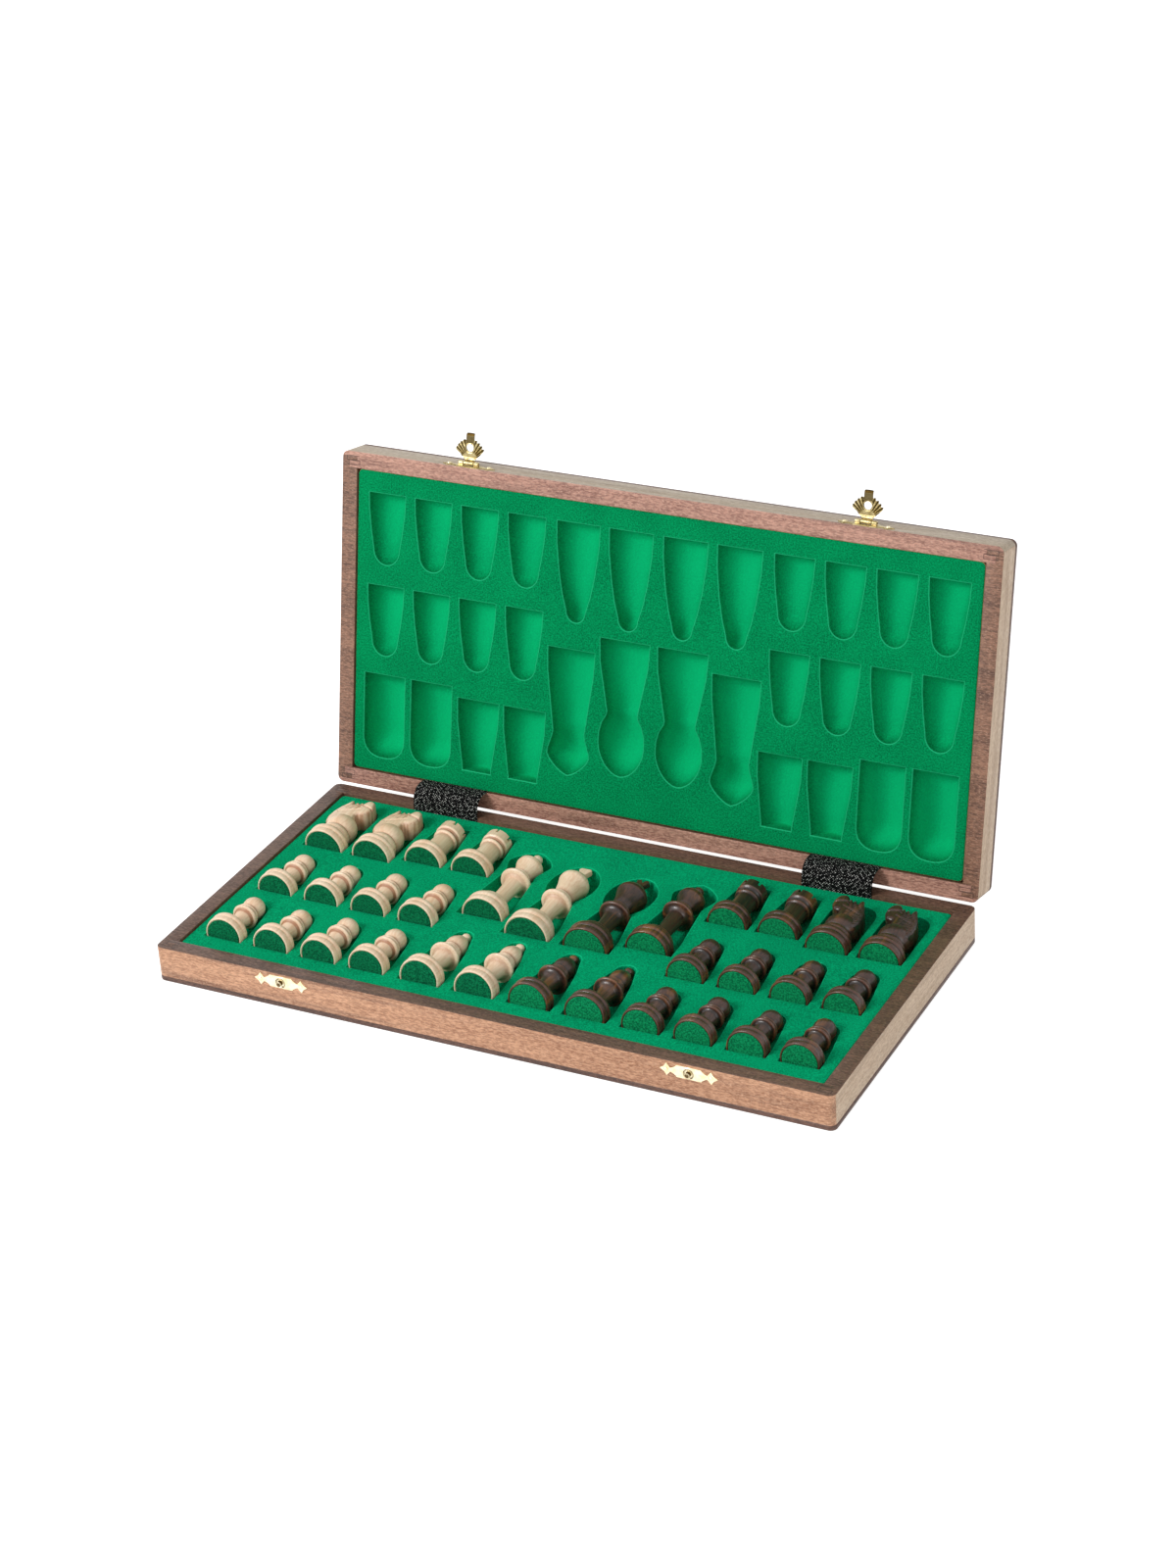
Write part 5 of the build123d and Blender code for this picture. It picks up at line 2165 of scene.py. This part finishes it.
# ------------ catches
@dataclass
class Catches:
    """Plates, nails, studs and hasps."""

    brass: Plated
    # Darker brass for the lid's hasps and hasp plates: painted shade.
    shaded: Plated
    dark: Plated
    x: float = 123.41
    catch_z: float = 16.4
    hasp_z: float = 17.7
    front: float = -HalfSizes.depth / 2
    plate_thick: float = 0.6
    star_out: float = 12.9
    star: float = 3.9
    star_hollow: float = 2.1
    nail_head: float = 1.2
    nail_high: float = 0.75
    axis_out: float = 1.9
    fan_low: float = 1.6
    hole_at: float = 8.9
    hole: float = 2.35
    fan_angle: float = 57.0
    tongue_angle: float = 13.0
    ridge_angle: float = 11.0
    tongue: float = 2.7
    tongue_from: float = 11.3
    root_to: float = 3.6
    step_high: float = 1.2
    sheet_thick: float = 0.7

    def build(self) -> None:
        """Make plates, nails and hasps of both halves."""
        for body, z, place in (("base", self.catch_z, Frame.base()), ("lid", self.hasp_z, Frame.lid())):
            for side, name in ((-1, "left"), (1, "right")):
                x = side * self.x if body == "base" else -side * self.x
                seat = place @ self.on_front(x, z)
                if body == "base":
                    self.catch_plate(seat, name)
                else:
                    self.hasp_plate(seat, name)
                    self.hasp(seat, name)
            self.nails(body, z, place)

    def on_front(self, x: float, z: float, out: float = 0.0) -> Matrix:
        """Frame on the front face: X along, Y up, Z outwards."""
        turn = Matrix(((1, 0, 0, 0), (0, 0, -1, 0), (0, 1, 0, 0), (0, 0, 0, 1)))
        return Matrix.Translation((x, self.front - out, z)) @ turn

    def outline(self, high: float) -> Loop:
        """Outline of a plate with a star at each end.

        Args:
            high: Height of the plate's body.

        Returns:
            Points counted round.
        """
        half, up = 17.1 / 2, high / 2
        right = [(half - 1.6, up), (half - 1.2, up - 0.5), (half - 0.9, up - 0.9), (half + 0.9, 1.6)]
        star = []
        for turn in (135, 45, -45, -135):
            dip = math.radians(turn)
            tip = math.radians(turn - 45)
            if abs(turn) != 135:
                star.append((self.star_hollow, dip))
            if turn != -135:
                star.append((self.star, tip))
        star = [(self.star_out + reach * math.cos(at), reach * math.sin(at)) for reach, at in star]
        neck = [(self.star_out - 2.3, 1.2)]
        lower = [(x, -y) for x, y in reversed(neck)]
        side = right + neck + star + lower + [(x, -y) for x, y in reversed(right)]
        return side + [(-x, -y) for x, y in side]

    def plate(
        self, sheet: Sheet, seat: Matrix, high: float, relief: Height, darkening: Height | None = None
    ) -> None:
        """Add a pressed plate.

        Args:
            sheet: Where the faces go.
            seat: Where it sits.
            high: Height of its body.
            relief: Extra height at a point of the plate.
            darkening: How dark it is at a point.
        """
        relief_sheet(
            sheet, seat, cut_up(self.outline(high), 0.8), [], 0.45,
            lambda x, y: self.plate_thick + relief(x, y), lambda x, y: 0.0, darkening,
        )

    def catch_plate(self, seat: Matrix, name: str) -> None:
        """Make the plate with the stud on the lower half.

        Args:
            seat: Where it sits.
            name: left or right.
        """
        sheet = Sheet()

        def relief(x: float, y: float) -> float:
            """Dished middle with a raised ring."""
            away = math.hypot(x, y)
            return 0.45 * hump(away - 3.1, 0.45) - (0.25 if away < 2.7 else 0.0)

        def darkening(x: float, y: float) -> float:
            """Darker just inside the raised ring."""
            return 0.42 * hump(math.hypot(x, y) - 2.6, 0.8)

        self.plate(sheet, seat, 7.4, relief, darkening)
        stud = Profile(1.7, 0.2).line(1.5, 0.8).line(1.45, 2.3).arc(1.1, 2.95, 0.2).cap(3.05)
        stud.turn(Stand(sheet, seat, 3.0), 28, 0.75)
        made = sheet.object(f"{name}_catch_plate_visual", self.brass.material())
        settle(made, "base", "brass", f"{name}_catch_plate")

    def hasp_plate(self, seat: Matrix, name: str) -> None:
        """Make the plate with its two lugs on the upper half.

        Args:
            seat: Where it sits.
            name: left or right.
        """
        sheet = Sheet()
        self.plate(sheet, seat, 6.4, lambda x, y: 0.0)
        axis = seat @ Matrix.Translation((0.0, 0.0, self.axis_out)) @ Matrix.Rotation(math.pi / 2, 4, "Y")
        for start in (-6.4, 3.4):
            lug = Profile(0.9, start).arc(1.15, start + 0.3, 0.06).line(1.15, start + 2.7)
            lug.arc(0.9, start + 3.0, 0.06)
            lug.turn(Stand(sheet, axis, 5.0), 24)
            web = [(start + 0.1, -1.1), (start + 2.9, -1.1), (start + 2.9, 1.1), (start + 0.1, 1.1)]
            foot = seat @ Matrix.Rotation(-math.pi / 2, 4, "X") @ Matrix.Translation((0.0, -1.0, 0.0))
            slab(Stand(sheet, foot), web, 1.0, 0.2)
        made = sheet.object(f"{name}_hasp_plate_visual", self.shaded.material())
        settle(made, "lid", "brass", f"{name}_hasp_plate")
        pins = Sheet()
        pin = Profile(0.62, -6.6).line(0.62, -6.4).line(0.48, -6.4)
        pin.line(0.48, 6.4).line(0.62, 6.4).line(0.62, 6.6)
        pin.turn(Stand(pins, axis, 1.0), 16)
        rod = pins.object(f"{name}_hasp_pin_visual", self.dark.material())
        settle(rod, "lid", "brass", f"{name}_hasp_pin")

    def nails(self, body: str, z: float, place: Matrix) -> None:
        """Set the four nails of a half on its plates.

        Args:
            body: The half.
            z: Height of its plates.
            place: Where the half is.
        """
        points = []
        for plate in (-1, 1):
            for side in (-1, 1):
                seat = place @ self.on_front(plate * self.x + side * self.star_out, z, self.plate_thick)
                points.append(seat.translation * MM)
        turn = (place @ self.on_front(0.0, z)).to_euler()
        growth = Growth(f"{body}_nail_heads")
        radius = growth.size("Head radius", self.nail_head * MM)
        high = growth.size("Head height", self.nail_high * MM)
        lean = growth.size("Turn", tuple(turn), "NodeSocketVector")
        ball = growth.node("GeometryNodeMeshUVSphere", {"Segments": 20, "Rings": 10, "Radius": 1.0})
        size = growth.node("ShaderNodeCombineXYZ", {0: radius, 1: radius, 2: high})
        spots = growth.node("GeometryNodeMeshToPoints", {"Mesh": growth.into.outputs[0]})
        stamped = growth.node(
            "GeometryNodeInstanceOnPoints",
            {
                "Points": spots.outputs[0], "Instance": ball.outputs[0],
                "Rotation": lean, "Scale": size.outputs[0],
            },
        )
        source = point_object(f"{body}_nail_places", points)
        node = "catch_nails" if body == "base" else "hasp_nails"
        made = growth.bake(source, stamped.outputs[0], self.brass.material(), f"{node}_visual")
        settle(made, body, "brass", node)

    def fan_half(self) -> Loop:
        """Right edge of a hasp: knuckle, straight flank, four scallops and the tongue.

        Returns:
            Points from the knuckle to the tip.
        """
        points = [(3.2, 0.0), (3.2, 2.0), (4.0, 2.7)]
        for step in range(25):
            turn = self.fan_angle - (self.fan_angle - self.tongue_angle) * step / 24
            scallop = abs(math.sin(math.pi * (turn - self.tongue_angle) / self.ridge_angle))
            reach = 10.3 + 0.9 * scallop + 0.035 * (self.fan_angle - turn)
            angle = math.radians(turn)
            points.append((reach * math.sin(angle), self.fan_low + reach * math.cos(angle)))
        return points + [(2.6, 13.6), (2.6, 16.9), (2.3, 17.4), (0.0, 17.5)]

    def hasp(self, seat: Matrix, name: str) -> None:
        """Make a fan-shaped hasp at rest, standing out from its knuckle.

        Args:
            seat: Where its plate sits.
            name: left or right.
        """
        right = self.fan_half()
        dense = cut_up(right + [(-x, y) for x, y in reversed(right[:-1])], 0.5)
        hole = [
            (self.hole * math.cos(math.radians(a)), self.hole_at + self.hole * math.sin(math.radians(a)))
            for a in range(0, 360, 12)
        ]

        def wave(x: float, y: float) -> float:
            """-1 in a groove of the fan, 1 on a ridge."""
            angle = math.degrees(math.atan2(abs(x), max(0.01, y - self.fan_low)))
            return -math.cos(2 * math.pi * (angle - self.tongue_angle) / self.ridge_angle)

        def rise(x: float, y: float) -> float:
            """0 where the ridges meet at the root, 1 where they are full."""
            return min(1.0, max(0.0, (math.hypot(x, y - self.fan_low) - 4.6) / 1.2))

        def relief(x: float, y: float) -> float:
            """Height of the pressed face over the fan's back.

            Args:
                x: Place across the fan.
                y: Place up from the knuckle.

            Returns:
                The height.
            """
            if abs(x) < self.tongue and y > self.tongue_from:
                return 1.35 + 0.7 * max(0.0, (y - 15.4) / 2.1) ** 2
            if math.hypot(x, y - self.hole_at) < self.hole + 0.7:
                return 1.15
            if y < self.root_to:
                return 0.9 + 0.35 * math.sin((y - 0.6) / self.step_high * math.pi) ** 2
            return 0.95 + 0.42 * wave(x, y) * rise(x, y)

        def darkening(x: float, y: float) -> float:
            """Painted shade: dark in the grooves, on the tongue and between the steps of the root.

            Args:
                x: Place across the fan.
                y: Place up from the knuckle.

            Returns:
                0 for bright metal, 1 for dark.
            """
            if abs(x) < self.tongue and y > self.tongue_from:
                return 0.95 if y > 15.9 else 0.6
            if y < self.root_to:
                return 0.5 * math.cos((y - 0.6) / self.step_high * math.pi) ** 2
            return 0.35 * (1.0 - rise(x, y)) + max(0.0, wave(x, y)) * rise(x, y)

        sheet = Sheet()
        axis = seat @ Matrix.Translation((0.0, 0.0, self.axis_out))
        upright = axis @ Matrix(((1, 0, 0, 0), (0, 0, -1, 0.35), (0, 1, 0, 0), (0, 0, 0, 1)))
        root = upright @ Matrix.Translation((0.0, 0.0, self.sheet_thick))
        relief_sheet(
            sheet, root, dense, [hole], 0.36,
            relief, lambda x, y: relief(x, y) - self.sheet_thick, darkening,
        )
        barrel = Profile(1.0, -3.2).line(1.15, -3.05).line(1.15, 3.05).line(1.0, 3.2)
        barrel.turn(Stand(sheet, axis @ Matrix.Rotation(math.pi / 2, 4, "Y"), 2.0), 24)
        made = sheet.object(f"{name}_hasp_visual", self.shaded.material())
        settle(made, f"{name}_hasp_body", "brass", f"{name}_hasp")


def relief_sheet(
    sheet: Sheet,
    seat: Matrix,
    outline: Loop,
    holes: list[Loop],
    pitch: float,
    top: Height,
    low: Height,
    darkening: Height | None = None,
) -> None:
    """Add a plate with modelled faces.

    Args:
        sheet: Where the faces go.
        seat: Where the plate sits, its back at Z = 0.
        outline: Its outline.
        holes: Outlines of the holes in it.
        pitch: Distance between the points of its face.
        top: Height of the upper face at a point.
        low: Height of its back at a point.
        darkening: How dark the face is at a point, 0 to 1.
    """
    xs, ys = [p[0] for p in outline], [p[1] for p in outline]
    spots = ((x, y) for y in steps(min(ys), max(ys), pitch) for x in steps(min(xs), max(xs), pitch))
    verts, kept, loops = fill_flat(outline, holes, spots, pitch * 0.6)
    rim = {i for loop in loops for i in loop}
    upper, under = [], []
    for index, vert in enumerate(verts):
        high = top(vert.x, vert.y) - (0.15 if index in rim else 0.0)
        dark = darkening(vert.x, vert.y) if darkening else 0.0
        upper.append(sheet.add(seat @ Vector((vert.x, vert.y, high)), None, dark))
        under.append(sheet.add(seat @ Vector((vert.x, vert.y, low(vert.x, vert.y))), None, dark))
    for corners in kept:
        sheet.face([upper[c] for c in corners])
        sheet.face([under[c] for c in reversed(corners)])
    for loop in loops:
        for i in range(len(loop)):
            a, b = loop[i - 1], loop[i]
            sheet.face((upper[a], upper[b], under[b], under[a]))


@dataclass
class HingeMetal:
    """Finish of the hinge leaves, pins and screws, which stay as plain solids."""

    brass: Plated

    def build(self, frame: dict) -> None:
        """Dress every hinge solid.
        """
        material = self.brass.material()
        for name, made in frame["nodes"].items():
            if "hinge" in name:
                made.data.materials.clear()
                made.data.materials.append(material)
                LOG.info("%s dressed", name)


# ------------ stage
def seen_directly(shade: Shade) -> Socket:
    """Tell rays that see a surface from rays that only light it.

    Args:
        shade: Node builder of the material or world.

    Returns:
        1 for rays from the camera, a mirror or glass, 0 for others.
    """
    path = shade.node("ShaderNodeLightPath").outputs
    mirrored = shade.math("MAXIMUM", path["Is Glossy Ray"], path["Is Transmission Ray"])
    return shade.math("MAXIMUM", path["Is Camera Ray"], mirrored)


@dataclass
class Studio:
    """Floor, lights, world and camera."""

    focal: float = 79.55
    place: Point = (0.79866, -1.44861, 1.00797)
    right: Point = (0.89467, 0.44315, -0.05638)
    up: Point = (-0.16818, 0.45106, 0.87651)
    shift: Spot = (-0.00447, 0.00266)
    ambient: float = 0.48
    floor_tone: float = 0.85
    floor_glow: float = 0.72
    aim: Point = (0.0, 0.05, 0.06)

    def build(self) -> None:
        """Set the stage."""
        self.floor()
        self.world()
        self.lamps()
        self.camera()

    def floor(self) -> None:
        """A pale floor that looks white to the camera."""
        material, shade, surface = fresh_material("pale_floor")
        tone = self.floor_tone
        shade.fill(surface, {"Base Color": (tone, tone, tone, 1.0), "Roughness": 0.9})
        level = shade.math("MULTIPLY", seen_directly(shade), self.floor_glow)
        glow = shade.node("ShaderNodeEmission", {"Color": (1.0, 1.0, 1.0, 1.0), "Strength": level})
        added = shade.node("ShaderNodeAddShader", {0: surface.outputs[0], 1: glow.outputs[0]})
        shade.feed(shade.tree.nodes["Material Output"].inputs["Surface"], added.outputs[0])
        mesh = bpy.data.meshes.new("floor")
        corners = [(-4.0, -4.0, 0.0), (4.0, -4.0, 0.0), (4.0, 6.0, 0.0), (-4.0, 6.0, 0.0)]
        mesh.from_pydata(corners, [], [(0, 1, 2, 3)])
        mesh.materials.append(material)
        made = linked("floor", mesh)
        made.location.z = -0.0004
        made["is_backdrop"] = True

    def world(self) -> None:
        """Even pale light all round, white behind the box."""
        world = bpy.data.worlds.new("studio")
        bpy.context.scene.world = world
        world.use_nodes = True
        shade = Shade(world.node_tree)
        back = world.node_tree.nodes["Background"]
        level = shade.math("MULTIPLY_ADD", seen_directly(shade), 1.0 - self.ambient, self.ambient)
        shade.fill(back, {"Color": (1.0, 1.0, 1.0, 1.0), "Strength": level})

    def lamps(self) -> None:
        """A key from the upper left and a wide fill from the right."""
        for name, at, size, watts in (
            ("key", (-1.16, -1.58, 1.42), 0.8, 36.0),
            ("fill", (1.9, -0.9, 0.8), 1.2, 7.0),
        ):
            lamp = bpy.data.lights.new(name, "AREA")
            lamp.energy = watts
            lamp.size = size
            made = linked(name, lamp)
            made.location = at
            aim = Vector(self.aim) - Vector(at)
            made.rotation_euler = aim.to_track_quat("-Z", "Y").to_euler()
            made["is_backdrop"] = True

    def camera(self) -> None:
        """Camera as fitted to the corners of the box."""
        lens = bpy.data.cameras.new("view")
        lens.sensor_fit = "VERTICAL"
        lens.sensor_height = 36.0
        lens.lens = self.focal
        lens.shift_x, lens.shift_y = self.shift
        made = linked("view", lens)
        right, up = Vector(self.right), Vector(self.up)
        back = right.cross(up)
        turn = Matrix((right, up, back)).transposed().to_4x4()
        made.matrix_world = Matrix.Translation(self.place) @ turn
        scene = bpy.context.scene
        scene.camera = made
        scene.view_settings.view_transform = "Standard"


# ------------ the whole
# Tones of each board: dark, light, fleck and stain.
TONES = {
    "base_rim": ((56, 36, 28), (128, 94, 76), (168, 136, 116), (40, 26, 22)),
    "base_front": ((142, 94, 66), (224, 172, 136), (238, 200, 168), (96, 60, 42)),
    "lid_rim": ((112, 70, 58), (206, 156, 136), (228, 192, 172), (78, 46, 38)),
    "lid_end_rim": ((74, 48, 38), (160, 116, 92), (206, 168, 144), (56, 34, 28)),
    # Painted light: a greyer copy of the front's wood for the lid's front, which faces up at rest.
    "lid_front": ((160, 140, 116), (206, 188, 162), (222, 208, 186), (116, 92, 70)),
    # Painted light: a paler copy of the wood for the end seen on the right of either half.
    "right": ((184, 154, 126), (228, 204, 176), (236, 218, 196), (152, 120, 94)),
    "left": ((128, 92, 72), (190, 150, 122), (216, 186, 162), (92, 62, 48)),
    "inner": ((70, 46, 34), (118, 84, 64), (150, 116, 90), (48, 32, 26)),
    "panel_wood": ((58, 38, 32), (112, 78, 64), (144, 108, 90), (42, 28, 24)),
    "dark": ((62, 34, 22), (108, 66, 44), (132, 88, 60), (44, 24, 18)),
    "light": ((206, 168, 118), (234, 202, 156), (190, 146, 98), (186, 142, 94)),
}


def board(name: str, body: str = "", run: Run = Run.ACROSS, **settings: float) -> StainedBoard:
    """A finish of the table, with its half in its name where both halves have one."""
    return StainedBoard(f"{body}_{name}" if body else name, *TONES[name], run, **settings)


def casings(frame: dict) -> list[Casing]:
    """Both halves with their finishes.


    Returns:
        The lower half, then the upper one.
    """
    made = []
    for body, place in (("base", Frame.base()), ("lid", Frame.lid())):
        lower = body == "base"
        rim = board(f"{body}_rim", rough=0.38, joints=0.8)
        end_rim = rim if lower else board("lid_end_rim", rough=0.5, joints=0.8)
        # Painted light: the lid's front, which faces up at rest, takes greyer tones than the base's front.
        front = board(f"{body}_front", stain_share=0.65 if lower else 0.5)
        # Painted light: a paler copy of the wood for the end seen on the right of either half.
        pale = board("right", body, Run.DEEP, rough=0.5)
        side = board("left", body, Run.DEEP, rough=0.45)
        left, right = (side, pale) if lower else (pale, side)
        faces = {Side.FRONT: front, Side.REAR: front, Side.LEFT: left, Side.RIGHT: right}
        inner, panel = board("inner", body, rough=0.55), board("panel_wood", body)
        squares = {tone: board(tone, body, rough=0.3, fleck_share=0.3) for tone in ("dark", "light")}
        made.append(Casing(frame, body, place, rim, end_rim, faces, inner, panel, squares))
    return made


def main() -> None:
    """Build and dress every piece of the box, in order."""
    logging.basicConfig(level=logging.INFO, format="%(name)s: %(message)s")
    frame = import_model()
    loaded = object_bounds()
    for casing in casings(frame):
        casing.build()
    edge = TurnedWood(
        "tray_edge", (196, 172, 112), (224, 204, 150), (150, 126, 80), (236, 220, 180), (176, 140, 84),
        mottle=0.3, rough=0.5, coat=0.0,
    )
    # Lip tones are painted highlights on the cup lips; a floor tone with a share above 0 is painted light on
    # the pocket floors.
    base_flock = Flock(
        "base_flock", (0, 120, 80), (2, 190, 128), lip=(24, 200, 140), floor=(0, 120, 76), floor_light_share=0.0
    )
    # Painted shade: the lid's flock is a darker copy of the base's.
    lid_flock = Flock(
        "lid_flock", (0, 98, 58), (2, 164, 98), lip=(44, 200, 140), floor=(8, 196, 126), floor_light_share=0.75
    )
    Tray("base", Frame.base(), base_flock, edge, sink_edge=1.0, sink_middle=2.6).build()
    Tray("lid", Frame.lid(), lid_flock, edge, sink_edge=1.0, sink_middle=1.2).build()
    # The men's hollow and edge tones are painted shade in their grooves and a painted highlight on their
    # edges.
    white = TurnedWood(
        "pale_birch", (230, 190, 154), (255, 230, 202), (152, 84, 42), (255, 238, 216), (230, 186, 144),
        mottle=0.5, rough=0.42, coat=0.08,
    )
    black = TurnedWood(
        "dark_lacquer", (20, 11, 9), (82, 50, 36), (7, 4, 4), (150, 92, 62), (140, 90, 44),
        mottle=0.8, rough=0.34, coat=0.2,
    )
    Men("white", -1, white, Felt("dark_felt", (0, 84, 54), (12, 128, 82))).build()
    Men("black", 1, black, Felt("bright_felt", (0, 104, 66), (16, 156, 98))).build()
    Tapes(WovenTape("woven_tape", (2, 2, 3), (9, 9, 10), (178, 178, 174))).build()
    brass = Plated("pale_brass", (250, 240, 210), (234, 220, 178), (84, 62, 26), 0.34)
    # Painted shade: a darker copy of the pale brass for the lid's hasps and hasp plates.
    shaded = Plated("aged_brass", (206, 190, 142), (156, 138, 92), (58, 44, 18), 0.34)
    dark = Plated("dull_brass", (178, 156, 112), (130, 110, 76), (84, 66, 26), 0.42)
    Catches(brass, shaded, dark).build()
    HingeMetal(dark).build(frame)
    Studio().build()
    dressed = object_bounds()
    {"loaded": as_lists(loaded), "finished": as_lists(dressed)}
    LOG.info("bounds %s", as_lists(dressed))


def as_lists(value: object) -> object:
    """Bounds as plain lists of numbers.


    Returns:
        The same in plain lists.
    """
    if isinstance(value, dict):
        return {key: as_lists(each) for key, each in value.items()}
    if isinstance(value, (int, float, str)) or value is None:
        return value
    return [as_lists(each) for each in value]


if __name__ == "__main__":
    main()
